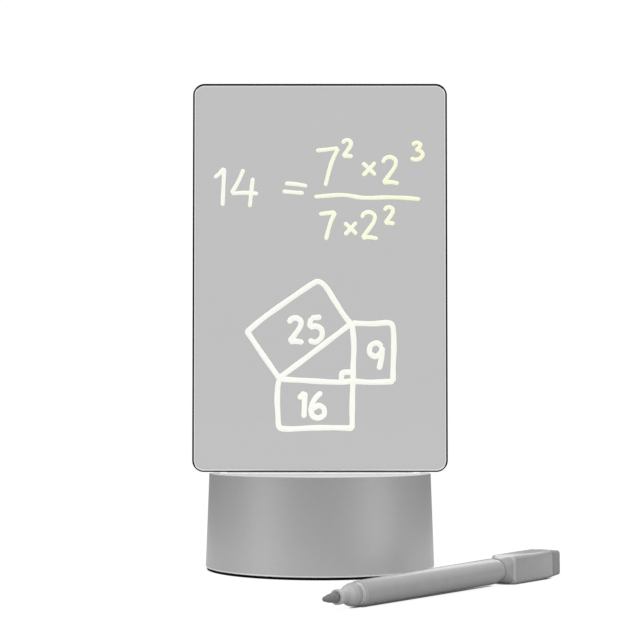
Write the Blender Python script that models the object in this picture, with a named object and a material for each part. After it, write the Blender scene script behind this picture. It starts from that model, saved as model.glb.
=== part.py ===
"""Acrylic memo board: a clear writing panel in a round lit base, with its marker pen.

Metres, +Z up. The origin is the centre of the foot pad's underside and the front faces -Y.
"""
import math

import bmesh
import bpy
from mathutils import Matrix, Vector

# Shared values
FIT = 0.0003
OVERRUN = 0.001
WELD = 0.000001
ROUND_SIDES = 72
SMALL_SIDES = 16
PEN_SIDES = 32
CORNER_STEPS = 4
SHARP_ANGLE = math.radians(35)

# Foot pad and base shell
PAD_THICKNESS = 0.0008
PAD_EDGE_INSET = 0.0006
SHELL_FOOT_RADIUS = 0.0490
SHELL_TAPER = 0.0014
SHELL_HEIGHT = 0.03965
SHELL_WALL = 0.0022
SHELL_ROOF = 0.0024
SHELL_FOOT_CHAMFER = 0.00015
SHELL_TOP_FILLET = 0.0002
TOP_FILLET_STEPS = 2
EMBED_SHARE = 0.7

# Bottom cover and its screws
COVER_THICKNESS = 0.002
CUP_HEIGHT = 0.0025
CUP_WALL = 0.0017
BOSS_RADIUS = 0.0035
BOSS_WALL_GAP = 0.00065
BOSS_COUNT = 4
RIB_THICKNESS = 0.0016
SCREW_HEAD_RADIUS = 0.0025
SCREW_HEAD_HEIGHT = 0.0015
SCREW_HEAD_RECESS = 0.0005
SCREW_SHANK_RADIUS = 0.0013
SCREW_LENGTH = 0.0119
DRIVE_RADIUS = 0.0011
DRIVE_DEPTH = 0.0008

# Writing panel
PANEL_WIDTH = 0.110
PANEL_HEIGHT = 0.168
PANEL_THICKNESS = 0.005
PANEL_CORNER = 0.005
PANEL_CHAMFER = 0.0006
PANEL_CORNER_STEPS = 8
SLOT_RIM = 0.0076
TONGUE_LENGTH = 0.014
TONGUE_STEP = 0.0007
TONGUE_CHAMFER = 0.0015

# Slot frame
SLEEVE_WALL = 0.0012
SLEEVE_DEPTH = 0.012
SLEEVE_CORNER = 0.0008
FLANGE_OVERHANG = 0.0017
FLANGE_THICKNESS = 0.0008
FLANGE_PROUD = 0.0002
FLANGE_CORNER = 0.002

# Light strip and its tray
LED_GAP = 0.0012
LED_COUNT = 8
LED_LENGTH = 0.0035
LED_WIDTH = 0.0028
LED_HEIGHT = 0.0008
LED_BOARD_THICKNESS = 0.001
LED_BOARD_INSET = 0.002
LED_PAD_INSET = 0.0018
TRAY_END_REACH = 0.002
TRAY_WALL = 0.0015
TRAY_FLOOR = 0.001
TRAY_SLEEVE_GAP = 0.0007
TRAY_ROOF_GAP = 0.00335
EAR_WIDTH = 0.008
EAR_REACH = 0.0078
EAR_THICKNESS = 0.002
EAR_END_GAP = 0.012
EAR_HOLE_INSET = 0.0035
TRAY_BOSS_RADIUS = 0.003
TRAY_SCREW_HEAD_RADIUS = 0.0022
TRAY_SCREW_HEAD_HEIGHT = 0.0014
TRAY_SCREW_SHANK_RADIUS = 0.001
TRAY_SCREW_REACH = 0.0017

# Battery and its cradle
CELL_HEADROOM = 0.00065
CELL_LENGTH = 0.065
CELL_EDGE = 0.0004
CELL_GROOVE_DEPTH = 0.0005
CELL_GROOVE_PLACE = 0.004
CELL_GROOVE_WIDTH = 0.0012
CRADLE_FLOOR = 0.0002
CRADLE_HEIGHT = 0.006
CRADLE_WALL = 0.002
CRADLE_WIDTH = 0.003
CRADLE_PLACE = 0.022
STOP_TAB_GAP = 0.0007
STOP_THICKNESS = 0.0015
STOP_WIDTH = 0.008
TAB_THICKNESS = 0.0003
TAB_WIDTH = 0.007
TAB_HEIGHT = 0.008

# Control board and what it carries
BOARD_THICKNESS = 0.0016
BOARD_EDGE_GAP = 0.00324
RAIL_THICKNESS = 0.0015
RAIL_OVERLAP = 0.0015
RAIL_REACH = 0.002
RAIL_FOOT_GAP = 0.005
USB_LIGHT_GAP = 0.00457
USB_WIDTH = 0.00894
USB_HEIGHT = 0.00326
USB_WALL = 0.0003
USB_CORNER = 0.0013
USB_BACK = 0.0006
USB_RECESS = 0.0008
USB_TONGUE_SIDE_GAP = 0.00082
USB_TONGUE_HEIGHT = 0.0007
USB_TONGUE_INSET = 0.001
USB_BLOCK_LENGTH = 0.0025
LIGHT_BUTTON_GAP = 0.0007
LIGHT_RADIUS = 0.001
LIGHT_COLLAR_RADIUS = 0.0018
LIGHT_COLLAR_LENGTH = 0.001
LIGHT_PROUD = 0.0001
LIGHT_CHIP_HEIGHT = 0.0008
LIGHT_CHIP_WIDTH = 0.0016
BUTTON_ROOF_GAP = 0.00485
BUTTON_RADIUS = 0.0045
BUTTON_PROUD = 0.0008
BUTTON_EDGE = 0.0004
BUTTON_FLANGE = 0.001
BUTTON_FLANGE_THICKNESS = 0.001
BUTTON_TRAVEL = 0.0006
SWITCH_WIDTH = 0.006
SWITCH_HEIGHT = 0.0035
SWITCH_PIT_DEPTH = 0.0021
SWITCH_BUTTON_GAP = 0.00116
PLUNGER_RADIUS = 0.0017
PLUNGER_SIDES = 20
HEADER_WIDTH = 0.007
HEADER_HEIGHT = 0.005
HEADER_DEPTH = 0.006
HEADER_EDGE_GAP = 0.008
CELL_HEADER_RISE = 0.0096
LIGHT_HEADER_DROP = 0.01305
COIL_RADIUS = 0.0025
COIL_HEIGHT = 0.003
CHIP_WIDTH = 0.005
CHIP_HEIGHT = 0.004
CHIP_DEPTH = 0.0015
CAPACITOR_WIDTH = 0.002
CAPACITOR_HEIGHT = 0.00125
CAPACITOR_DEPTH = 0.0012

# Leads
LEAD_RADIUS = 0.0006
LEAD_RESOLUTION = 2
LEAD_STEPS = 4
LEAD_PITCH = 0.0025
LEAD_STRAIGHT = 0.0022
CELL_POSITIVE_SHARES = ((1.066, 0.04, 1.0), (1.081, 0.196, 0.985), (1.003, 0.44, 0.955),
                        (0.704, 0.62, 0.92), (0.24, 0.735, 0.92), (-0.12, 0.817, 0.955))
CELL_NEGATIVE_SHARES = ((-1.066, 0.04, 1.0), (-1.081, 0.196, 0.985), (-1.003, 0.44, 0.955),
                        (-0.778, 0.637, 0.94), (-0.524, 0.8, 0.97))
LIGHT_POSITIVE_SHARES = ((0.921, 0.08, 1.006), (1.005, 0.13, 0.96), (1.0, 0.278, 0.859),
                         (0.874, 0.474, 0.82), (0.688, 0.637, 0.828), (0.478, 0.758, 0.882))
LIGHT_NEGATIVE_SHARES = ((0.925, -0.059, 1.006), (1.007, -0.013, 0.909), (0.993, 0.24, 0.781),
                         (0.862, 0.43, 0.774), (0.653, 0.545, 0.77), (0.42, 0.67, 0.81))

# Pen, measured along its axis from the tip
PEN_TIP_X = 0.001
PEN_TIP_Y = -0.1423
PEN_HEADING = math.radians(49.6)
NIB_LENGTH = 0.007
NIB_POINT_RADIUS = 0.00085
NIB_POINT_SHARES = ((0.5, 0.14), (1.0, 0.6))
NIB_RADIUS = 0.002
NIB_SHANK_STEP = 0.00045
SECTION_LENGTH = 0.0106
COLLAR_LENGTH = 0.0038
COLLAR_STEP = 0.00062
COLLAR_CHAMFER = 0.00025
SECTION_STEP = 0.00049
SECTION_FLARE_LENGTH = 0.0036
SECTION_FLARE_SHARES = (0.7, 0.55)
SECTION_PLUG_LENGTH = 0.0081
BARREL_LENGTH = 0.0818
BARREL_FRONT_RADIUS = 0.00449
BARREL_TAPER = 0.00046
BARREL_WALL = 0.00089
BARREL_CHAMFER = 0.00025
TAIL_TAPER_LENGTH = 0.0031
TAIL_TAPER = 0.0006
TAIL_SEAT = 0.0004
TAIL_POST_LENGTH = 0.0086
TAIL_PLUG_LENGTH = 0.007
CAP_MOUTH_WALL = 0.00045
CAP_MOUTH_CHAMFER = 0.0002
CAP_SHOULDER_LENGTH = 0.0052
CAP_SHOULDER_SHARES = ((0.5, 0.35), (0.8, 0.7))
CAP_LENGTH = 0.0326
CAP_STEP = 0.00058
CAP_CORNER = 0.0014
CAP_FLOOR = 0.0023
ERASER_LENGTH = 0.0061
ERASER_STEP = 0.0001
ERASER_TAPER = 0.0001
ERASER_ROOT_LENGTH = 0.003
ERASER_ROOT_HALF_WIDTH = 0.0036
ERASER_CORNER = 0.0012

# Heights that follow
SHELL_FOOT_Z = PAD_THICKNESS + FIT
SHELL_TOP_Z = SHELL_FOOT_Z + SHELL_HEIGHT
ROOF_Z = SHELL_TOP_Z - SHELL_ROOF
COVER_TOP_Z = SHELL_FOOT_Z + COVER_THICKNESS
CUP_TOP_Z = COVER_TOP_Z + CUP_HEIGHT
PANEL_FOOT_Z = SHELL_TOP_Z + FLANGE_PROUD + FIT
TONGUE_FOOT_Z = PANEL_FOOT_Z - TONGUE_LENGTH
LED_TOP_Z = TONGUE_FOOT_Z - LED_GAP
LED_FOOT_Z = LED_TOP_Z - LED_HEIGHT
LED_BOARD_TOP_Z = LED_FOOT_Z - FIT
LED_BOARD_FOOT_Z = LED_BOARD_TOP_Z - LED_BOARD_THICKNESS
TRAY_FLOOR_Z = LED_BOARD_FOOT_Z - FIT
TRAY_FOOT_Z = TRAY_FLOOR_Z - TRAY_FLOOR
TRAY_TOP_Z = ROOF_Z - TRAY_ROOF_GAP
BUTTON_Z = ROOF_Z - BUTTON_ROOF_GAP - BUTTON_RADIUS - BUTTON_FLANGE
LIGHT_Z = BUTTON_Z - BUTTON_RADIUS - BUTTON_FLANGE - LIGHT_BUTTON_GAP - LIGHT_COLLAR_RADIUS
USB_Z = LIGHT_Z - LIGHT_COLLAR_RADIUS - USB_LIGHT_GAP - USB_HEIGHT / 2
BOARD_FOOT_Z = COVER_TOP_Z + FIT
BOARD_TOP_Z = ROOF_Z - FIT
CELL_HEADER_Z = BOARD_FOOT_Z + CELL_HEADER_RISE
LIGHT_HEADER_Z = BOARD_TOP_Z - LIGHT_HEADER_DROP
FLANGE_Z = SHELL_TOP_Z + FLANGE_PROUD - FLANGE_THICKNESS
SLEEVE_FOOT_Z = SHELL_TOP_Z + FLANGE_PROUD - SLEEVE_DEPTH

# The cell fills the room between its cradle and the tray
CELL_FLOOR_Z = COVER_TOP_Z + CRADLE_FLOOR + FIT
CELL_RADIUS = (TRAY_FOOT_Z - CELL_HEADROOM - CELL_FLOOR_Z) / 2
CELL_Z = CELL_FLOOR_Z + CELL_RADIUS

# Sizes at the slot that follow from the base and the panel
SHELL_TOP_RADIUS = SHELL_FOOT_RADIUS - SHELL_TAPER
TONGUE_THICKNESS = PANEL_THICKNESS - TONGUE_STEP * 2
TONGUE_WIDTH = (SHELL_TOP_RADIUS - SLOT_RIM) * 2
SLEEVE_LENGTH = TONGUE_WIDTH + (FIT + SLEEVE_WALL) * 2
SLEEVE_BREADTH = TONGUE_THICKNESS + (FIT + SLEEVE_WALL) * 2
LED_BOARD_LENGTH = TONGUE_WIDTH - LED_BOARD_INSET * 2
TRAY_LENGTH = TONGUE_WIDTH + TRAY_END_REACH * 2
TRAY_INNER_Y = SLEEVE_BREADTH / 2 + TRAY_SLEEVE_GAP
TRAY_OUTER_Y = TRAY_INNER_Y + TRAY_WALL
EAR_PLACE = TRAY_LENGTH / 2 - EAR_END_GAP
EAR_HOLE_Y = TRAY_OUTER_Y + EAR_REACH - EAR_HOLE_INSET

# Radii and places of the pen that follow
NIB_SHANK_RADIUS = NIB_RADIUS - NIB_SHANK_STEP
COLLAR_RADIUS = NIB_RADIUS + COLLAR_STEP
SECTION_RADIUS = BARREL_FRONT_RADIUS - SECTION_STEP
BARREL_REAR_RADIUS = BARREL_FRONT_RADIUS + BARREL_TAPER
BARREL_BORE_RADIUS = BARREL_FRONT_RADIUS - BARREL_WALL
TAIL_NECK_RADIUS = BARREL_REAR_RADIUS - TAIL_TAPER
TAIL_POST_RADIUS = TAIL_NECK_RADIUS - TAIL_SEAT
CAP_MOUTH_RADIUS = TAIL_POST_RADIUS + FIT + CAP_MOUTH_WALL
CAP_HALF_WIDTH = BARREL_REAR_RADIUS + CAP_STEP
CAP_BORE_DEPTH = CAP_LENGTH - ERASER_ROOT_LENGTH - CAP_FLOOR
ERASER_FRONT_HALF_WIDTH = CAP_HALF_WIDTH - ERASER_STEP
ERASER_END_HALF_WIDTH = ERASER_FRONT_HALF_WIDTH - ERASER_TAPER
SECTION_START = NIB_LENGTH + FIT
BARREL_START = SECTION_START + SECTION_LENGTH + FIT
BARREL_END = BARREL_START + BARREL_LENGTH
TAIL_START = BARREL_END + FIT
TAIL_NECK_END = TAIL_START + TAIL_TAPER_LENGTH
CAP_START = TAIL_NECK_END + FIT
CAP_SQUARE_START = CAP_START + CAP_SHOULDER_LENGTH
CAP_END = CAP_START + CAP_LENGTH
ERASER_START = CAP_END + FIT


def shell_radius(height):
    """Outer radius of the tapered wall at a height."""
    share = (height - SHELL_FOOT_Z) / SHELL_HEIGHT
    return SHELL_FOOT_RADIUS - SHELL_TAPER * share


def inner_radius(height):
    """Inner radius of the tapered wall at a height."""
    return shell_radius(height) - SHELL_WALL


def wall_inside(height, radius):
    """How far back a disc of a radius, upright at a height, can stand inside the curved wall."""
    return math.sqrt(inner_radius(height + radius) ** 2 - radius ** 2)


# Places that follow from the curved wall
BOSS_CIRCLE = inner_radius(ROOF_Z) - BOSS_RADIUS - BOSS_WALL_GAP
BUTTON_FLANGE_FRONT = wall_inside(BUTTON_Z, BUTTON_RADIUS + BUTTON_FLANGE) - FIT
BUTTON_FLANGE_REAR = BUTTON_FLANGE_FRONT - BUTTON_FLANGE_THICKNESS
SWITCH_FACE_Y = BUTTON_FLANGE_REAR - SWITCH_BUTTON_GAP
BOARD_FACE_Y = SWITCH_FACE_Y - SWITCH_HEIGHT - FIT
BOARD_BACK_Y = BOARD_FACE_Y - BOARD_THICKNESS
BOARD_WIDTH = (math.sqrt(inner_radius(ROOF_Z) ** 2 - BOARD_FACE_Y ** 2) - BOARD_EDGE_GAP) * 2
HEADER_PLACE = BOARD_WIDTH / 2 - HEADER_EDGE_GAP


def paint(name, color, roughness, metallic=0.0, alpha=1.0, glow=0.0):
    """A Principled material with a part's colour, roughness and metallic value."""
    material = bpy.data.materials.new(name)
    material.use_nodes = True
    shader = material.node_tree.nodes["Principled BSDF"]
    shader.inputs["Base Color"].default_value = (*color, 1.0)
    shader.inputs["Roughness"].default_value = roughness
    shader.inputs["Metallic"].default_value = metallic
    shader.inputs["Alpha"].default_value = alpha
    shader.inputs["Emission Color"].default_value = (*color, 1.0)
    shader.inputs["Emission Strength"].default_value = glow
    material.diffuse_color = (*color, alpha)
    return material


def turned(profile, sides, frame=Matrix()):
    """Spins (radius, height) points round Z; a profile off the axis is closed into a ring."""
    shape = bmesh.new()
    points = [shape.verts.new((radius, 0, height)) for radius, height in profile]
    edges = [shape.edges.new(pair) for pair in zip(points, points[1:])]
    if profile[0][0] > 0:
        edges.append(shape.edges.new((points[-1], points[0])))
    bmesh.ops.spin(shape, geom=points + edges, cent=(0, 0, 0), axis=(0, 0, 1),
                   angle=math.tau, steps=sides, use_merge=True)
    bmesh.ops.remove_doubles(shape, verts=shape.verts, dist=WELD)
    bmesh.ops.transform(shape, matrix=frame, verts=shape.verts)
    return shape


def prism(outline, low, high, frame=Matrix()):
    """Extrudes a closed XY outline from low to high along Z."""
    shape = bmesh.new()
    face = shape.faces.new([shape.verts.new((x, y, low)) for x, y in outline])
    extruded = bmesh.ops.extrude_face_region(shape, geom=[face])["geom"]
    far_points = [item for item in extruded if isinstance(item, bmesh.types.BMVert)]
    bmesh.ops.translate(shape, vec=(0, 0, high - low), verts=far_points)
    bmesh.ops.transform(shape, matrix=frame, verts=shape.verts)
    return shape


def circle(radius, sides):
    """Outline of a circle about the origin, with no corner on its axes."""
    angles = [(index + 0.5) * math.tau / sides for index in range(sides)]
    return [(radius * math.cos(angle), radius * math.sin(angle)) for angle in angles]


def rectangle(width, depth):
    """Outline of a rectangle about the origin."""
    return [(-width / 2, -depth / 2), (width / 2, -depth / 2),
            (width / 2, depth / 2), (-width / 2, depth / 2)]


def rounded(width, depth, corner, steps=CORNER_STEPS):
    """Outline of a rectangle with round corners; with corners of half its size it is a circle."""
    points = []
    for turn, (side_x, side_y) in enumerate([(1, 1), (-1, 1), (-1, -1), (1, -1)]):
        for step in range(steps + 1):
            angle = (turn + step / steps) * math.pi / 2
            x = side_x * (width / 2 - corner) + corner * math.cos(angle)
            y = side_y * (depth / 2 - corner) + corner * math.sin(angle)
            points.append((x, y))
    return points


def box(low, high):
    """A plain block between two corners."""
    middle = Matrix.Translation(((low[0] + high[0]) / 2, (low[1] + high[1]) / 2, 0))
    return prism(rectangle(high[0] - low[0], high[1] - low[1]), low[2], high[2], middle)


def lofted(stations):
    """Joins rounded squares, given as (height, half width, corner), into one closed solid."""
    shape = bmesh.new()
    rings = []
    for height, half_width, corner in stations:
        outline = rounded(half_width * 2, half_width * 2, corner, PEN_SIDES // 4)
        rings.append([shape.verts.new((x, y, height)) for x, y in outline])
    for ring, following in zip(rings, rings[1:]):
        for index in range(len(ring)):
            after = (index + 1) % len(ring)
            shape.faces.new((ring[index], ring[after], following[after], following[index]))
    shape.faces.new(reversed(rings[0]))
    shape.faces.new(rings[-1])
    bmesh.ops.remove_doubles(shape, verts=shape.verts, dist=WELD)
    return shape


def merged(shapes):
    """Puts shapes that don't touch each other into one bmesh."""
    whole = bmesh.new()
    for shape in shapes:
        mesh = bpy.data.meshes.new("shape")
        shape.to_mesh(mesh)
        shape.free()
        whole.from_mesh(mesh)
        bpy.data.meshes.remove(mesh)
    return whole


def piece(name, shape, material, parent=None):
    """Makes one named object from a shape."""
    bmesh.ops.recalc_face_normals(shape, faces=shape.faces)
    mesh = bpy.data.meshes.new(name)
    shape.to_mesh(mesh)
    shape.free()
    mesh.shade_smooth()
    mesh.set_sharp_from_angle(angle=SHARP_ANGLE)
    if material:
        mesh.materials.append(material)
    item = bpy.data.objects.new(name, mesh)
    item.parent = parent
    if parent:
        item.matrix_parent_inverse = Matrix()
    bpy.context.scene.collection.objects.link(item)
    return item


def shaped(item, operation, shapes):
    """Joins shapes to an object, or cuts them out of it, with a Boolean."""
    tool = piece(f"{item.name}_{operation.lower()}_tool", merged(shapes), None, item.parent)
    tool.location = item.location
    tool.hide_render = True
    tool.display_type = 'WIRE'
    modifier = item.modifiers.new(tool.name, 'BOOLEAN')
    modifier.operation = operation
    modifier.solver = 'EXACT'
    modifier.object = tool


def pivot(name, frame, parent=None):
    """An empty on a joint's axis, in its parent's frame."""
    empty = bpy.data.objects.new(name, None)
    empty.parent = parent
    empty.matrix_local = frame
    empty.empty_display_size = SHELL_WALL
    bpy.context.scene.collection.objects.link(empty)
    return empty


def around(count, radius):
    """Frames on a circle, each with its X axis pointing outwards, the first at half a step."""
    for index in range(count):
        turn = Matrix.Rotation((index + 0.5) * math.tau / count, 4, 'Z')
        yield turn @ Matrix.Translation((radius, 0, 0))


def along_y(y, z):
    """A frame whose Z axis points to the back, at a place in the middle plane."""
    return Matrix.Translation((0, y, z)) @ Matrix.Rotation(-math.pi / 2, 4, 'X')


def along_x(x, y, z):
    """A frame whose Z axis points to the right."""
    return Matrix.Translation((x, y, z)) @ Matrix.Rotation(math.pi / 2, 4, 'Y')


def moved(x, y):
    """A frame moved sideways."""
    return Matrix.Translation((x, y, 0))


def rod(radius, low, high, sides=SMALL_SIDES, frame=Matrix()):
    """A plain round rod along Z."""
    return prism(circle(radius, sides), low, high, frame)


def screw(head_radius, head_low, head_high, shank_radius, tip, frame):
    """A screw that points up, with a hollow drive in its head."""
    drive_floor = head_low + DRIVE_DEPTH
    profile = [(0, drive_floor), (DRIVE_RADIUS, drive_floor), (DRIVE_RADIUS, head_low),
               (head_radius, head_low), (head_radius, head_high), (shank_radius, head_high),
               (shank_radius, tip - shank_radius / 2), (shank_radius / 2, tip), (0, tip)]
    return turned(profile, SMALL_SIDES, frame)


def boss_outline():
    """A boss with a rib that runs outwards along +X into the wall."""
    rib_end = SHELL_TOP_RADIUS - SHELL_WALL * (1 - EMBED_SHARE) - BOSS_CIRCLE
    start = math.asin(RIB_THICKNESS / 2 / BOSS_RADIUS)
    points = []
    for step in range(SMALL_SIDES + 1):
        angle = start + (math.tau - start * 2) * step / SMALL_SIDES
        points.append((BOSS_RADIUS * math.cos(angle), BOSS_RADIUS * math.sin(angle)))
    return points + [(rib_end, -RIB_THICKNESS / 2), (rib_end, RIB_THICKNESS / 2)]


def tray_screw_places():
    """The two screws of the light tray, on opposite sides."""
    return [moved(-EAR_PLACE, -EAR_HOLE_Y), moved(EAR_PLACE, EAR_HOLE_Y)]


def foot_pad():
    radius = SHELL_FOOT_RADIUS - PAD_EDGE_INSET
    disc = rod(radius, 0, PAD_THICKNESS, ROUND_SIDES)
    piece("foot_pad", disc, paint("foot_foam", (0.012, 0.012, 0.012), 0.9))


def base_shell():
    """Tapered wall and roof, with screw bosses, board rails, the slot and the back openings."""
    fillet_centre = shell_radius(SHELL_TOP_Z - SHELL_TOP_FILLET) - SHELL_TOP_FILLET
    profile = [(0, SHELL_TOP_Z)]
    for step in range(TOP_FILLET_STEPS + 1):
        angle = math.pi / 2 * (1 - step / TOP_FILLET_STEPS)
        profile.append((fillet_centre + SHELL_TOP_FILLET * math.cos(angle),
                        SHELL_TOP_Z - SHELL_TOP_FILLET + SHELL_TOP_FILLET * math.sin(angle)))
    profile += [(shell_radius(SHELL_FOOT_Z + SHELL_FOOT_CHAMFER), SHELL_FOOT_Z + SHELL_FOOT_CHAMFER),
                (SHELL_FOOT_RADIUS - SHELL_FOOT_CHAMFER, SHELL_FOOT_Z),
                (inner_radius(SHELL_FOOT_Z), SHELL_FOOT_Z),
                (inner_radius(ROOF_Z), ROOF_Z), (0, ROOF_Z)]
    shell = piece("base_shell", turned(profile, ROUND_SIDES),
                  paint("satin_grey", (0.36, 0.36, 0.36), 0.42, 0.25))

    embed_z = ROOF_Z + SHELL_ROOF * (1 - EMBED_SHARE)
    boss_foot = CUP_TOP_Z + FIT
    added = [prism(boss_outline(), boss_foot, embed_z, frame)
             for frame in around(BOSS_COUNT, BOSS_CIRCLE)]
    added += [rod(TRAY_BOSS_RADIUS, TRAY_TOP_Z + FIT, embed_z, SMALL_SIDES, frame)
              for frame in tray_screw_places()]
    rail_foot = BOARD_FOOT_Z + RAIL_FOOT_GAP
    rail_in = BOARD_WIDTH / 2 - RAIL_OVERLAP
    rail_out = BOARD_WIDTH / 2 + RAIL_REACH
    rear_end = math.sqrt(shell_radius(ROOF_Z) ** 2 - rail_out ** 2) - SHELL_WALL * (1 - EMBED_SHARE)
    front_y = (BOARD_BACK_Y - FIT - RAIL_THICKNESS, BOARD_BACK_Y - FIT)
    rear_y = (BOARD_FACE_Y + FIT, rear_end)
    for y_low, y_high in (front_y, rear_y):
        added.append(box((rail_in, y_low, rail_foot), (rail_out, y_high, embed_z)))
        added.append(box((-rail_out, y_low, rail_foot), (-rail_in, y_high, embed_z)))
    shaped(shell, 'UNION', added)

    slot = rounded(SLEEVE_LENGTH + FIT * 2, SLEEVE_BREADTH + FIT * 2, SLEEVE_CORNER + FIT)
    reach = FLANGE_OVERHANG + FIT
    recess = rounded(SLEEVE_LENGTH + reach * 2, SLEEVE_BREADTH + reach * 2, FLANGE_CORNER + FIT)
    above = SHELL_TOP_Z + OVERRUN
    shaped(shell, 'DIFFERENCE', [prism(slot, ROOF_Z - OVERRUN, above)])
    shaped(shell, 'DIFFERENCE', [prism(recess, FLANGE_Z - FIT, above)])

    screw_tip = SHELL_FOOT_Z + SCREW_HEAD_RECESS + SCREW_LENGTH
    pilots = [rod(SCREW_SHANK_RADIUS + FIT, boss_foot - OVERRUN, screw_tip + OVERRUN, frame=frame)
              for frame in around(BOSS_COUNT, BOSS_CIRCLE)]
    tray_tip = TRAY_TOP_Z + TRAY_SCREW_REACH
    pilots += [rod(TRAY_SCREW_SHANK_RADIUS + FIT, TRAY_TOP_Z + FIT - OVERRUN, tray_tip + OVERRUN,
                   frame=frame) for frame in tray_screw_places()]
    shaped(shell, 'DIFFERENCE', pilots)

    wall_in = inner_radius(SHELL_TOP_Z) - SHELL_WALL
    length = SHELL_FOOT_RADIUS + OVERRUN - wall_in
    usb = rounded(USB_WIDTH + FIT * 2, USB_HEIGHT + FIT * 2, USB_CORNER + FIT)
    openings = [prism(usb, 0, length, along_y(wall_in, USB_Z)),
                rod(LIGHT_RADIUS + FIT, 0, length, frame=along_y(wall_in, LIGHT_Z)),
                rod(BUTTON_RADIUS + FIT, 0, length, PEN_SIDES, along_y(wall_in, BUTTON_Z))]
    shaped(shell, 'DIFFERENCE', openings)


def bottom_cover():
    """Disc with four screw cups, two cradles for the cell and a stop at each end of it."""
    radius = inner_radius(SHELL_FOOT_Z) - FIT
    cover = piece("bottom_cover", rod(radius, SHELL_FOOT_Z, COVER_TOP_Z, ROUND_SIDES),
                  paint("dark_plastic", (0.05, 0.05, 0.052), 0.55))
    embed_z = COVER_TOP_Z - COVER_THICKNESS * (1 - EMBED_SHARE)
    cup_radius = SCREW_HEAD_RADIUS + SCREW_HEAD_RECESS + CUP_WALL
    added = [rod(cup_radius, embed_z, CUP_TOP_Z, PEN_SIDES, frame)
             for frame in around(BOSS_COUNT, BOSS_CIRCLE)]
    half = CELL_RADIUS + FIT + CRADLE_WALL
    stop_near = CELL_LENGTH / 2 + FIT
    stop_far = stop_near + STOP_THICKNESS
    stop_top = CELL_Z - TAB_HEIGHT / 2 - STOP_TAB_GAP
    for side in (-1, 1):
        middle = side * CRADLE_PLACE
        added.append(box((middle - CRADLE_WIDTH / 2, -half, embed_z),
                         (middle + CRADLE_WIDTH / 2, half, COVER_TOP_Z + CRADLE_HEIGHT)))
        ends = sorted((side * stop_near, side * stop_far))
        added.append(box((ends[0], -STOP_WIDTH / 2, embed_z),
                         (ends[1], STOP_WIDTH / 2, stop_top)))
    shaped(cover, 'UNION', added)

    sweep = CRADLE_PLACE + CRADLE_WIDTH
    shaped(cover, 'DIFFERENCE', [rod(CELL_RADIUS + FIT, -sweep, sweep, PEN_SIDES, along_x(0, 0, CELL_Z))])
    head_z = SHELL_FOOT_Z + SCREW_HEAD_RECESS + SCREW_HEAD_HEIGHT + FIT
    head_hole = SCREW_HEAD_RADIUS + SCREW_HEAD_RECESS
    hole = SCREW_SHANK_RADIUS + FIT
    profile = [(0, SHELL_FOOT_Z - OVERRUN), (head_hole, SHELL_FOOT_Z - OVERRUN), (head_hole, head_z),
               (hole, head_z), (hole, CUP_TOP_Z + OVERRUN), (0, CUP_TOP_Z + OVERRUN)]
    shaped(cover, 'DIFFERENCE', [turned(profile, SMALL_SIDES, frame)
                                 for frame in around(BOSS_COUNT, BOSS_CIRCLE)])


def cover_screws():
    head_low = SHELL_FOOT_Z + SCREW_HEAD_RECESS
    zinc = paint("zinc_screw", (0.6, 0.6, 0.6), 0.3, 1.0)
    for number, frame in enumerate(around(BOSS_COUNT, BOSS_CIRCLE), 1):
        shape = screw(SCREW_HEAD_RADIUS, head_low, head_low + SCREW_HEAD_HEIGHT, SCREW_SHANK_RADIUS,
                      head_low + SCREW_LENGTH, frame)
        piece(f"cover_screw_{number}", shape, zinc)


def slot_frame():
    """Pale sleeve with a flange that lies in the roof's recess."""
    flange = rounded(SLEEVE_LENGTH + FLANGE_OVERHANG * 2, SLEEVE_BREADTH + FLANGE_OVERHANG * 2,
                     FLANGE_CORNER)
    flange_top = FLANGE_Z + FLANGE_THICKNESS
    frame = piece("slot_frame", prism(flange, FLANGE_Z, flange_top),
                  paint("milky_plastic", (0.86, 0.86, 0.84), 0.35))
    sleeve = rounded(SLEEVE_LENGTH, SLEEVE_BREADTH, SLEEVE_CORNER)
    shaped(frame, 'UNION', [prism(sleeve, SLEEVE_FOOT_Z, FLANGE_Z + FLANGE_THICKNESS / 2)])
    inside = rectangle(TONGUE_WIDTH + FIT * 2, TONGUE_THICKNESS + FIT * 2)
    shaped(frame, 'DIFFERENCE', [prism(inside, SLEEVE_FOOT_Z - OVERRUN, flange_top + OVERRUN)])


def acrylic_panel():
    """Clear sheet with round corners and chamfered edges, and a thinner tongue for the slot."""
    slide = pivot("panel_slide", Matrix.Translation((0, 0, PANEL_FOOT_Z)))
    outline = [(x, z + PANEL_HEIGHT / 2)
               for x, z in rounded(PANEL_WIDTH, PANEL_HEIGHT, PANEL_CORNER, PANEL_CORNER_STEPS)]
    upright = Matrix.Rotation(math.pi / 2, 4, 'X')
    sheet = prism(outline, -PANEL_THICKNESS / 2, PANEL_THICKNESS / 2, upright)
    rims = [edge for edge in sheet.edges
            if abs(edge.verts[0].co.y - edge.verts[1].co.y) < WELD]
    bmesh.ops.bevel(sheet, geom=rims, offset=PANEL_CHAMFER, offset_type='OFFSET', affect='EDGES',
                    segments=1, profile=0.5, material=-1)
    panel = piece("acrylic_panel", sheet,
                  paint("clear_acrylic", (0.54, 0.54, 0.54), 0.08, alpha=0.6), slide)
    side = TONGUE_WIDTH / 2
    tongue = [(-side, PANEL_THICKNESS), (-side, TONGUE_CHAMFER - TONGUE_LENGTH),
              (TONGUE_CHAMFER - side, -TONGUE_LENGTH), (side - TONGUE_CHAMFER, -TONGUE_LENGTH),
              (side, TONGUE_CHAMFER - TONGUE_LENGTH), (side, PANEL_THICKNESS)]
    shaped(panel, 'UNION', [prism(tongue, -TONGUE_THICKNESS / 2, TONGUE_THICKNESS / 2, upright)])


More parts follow.
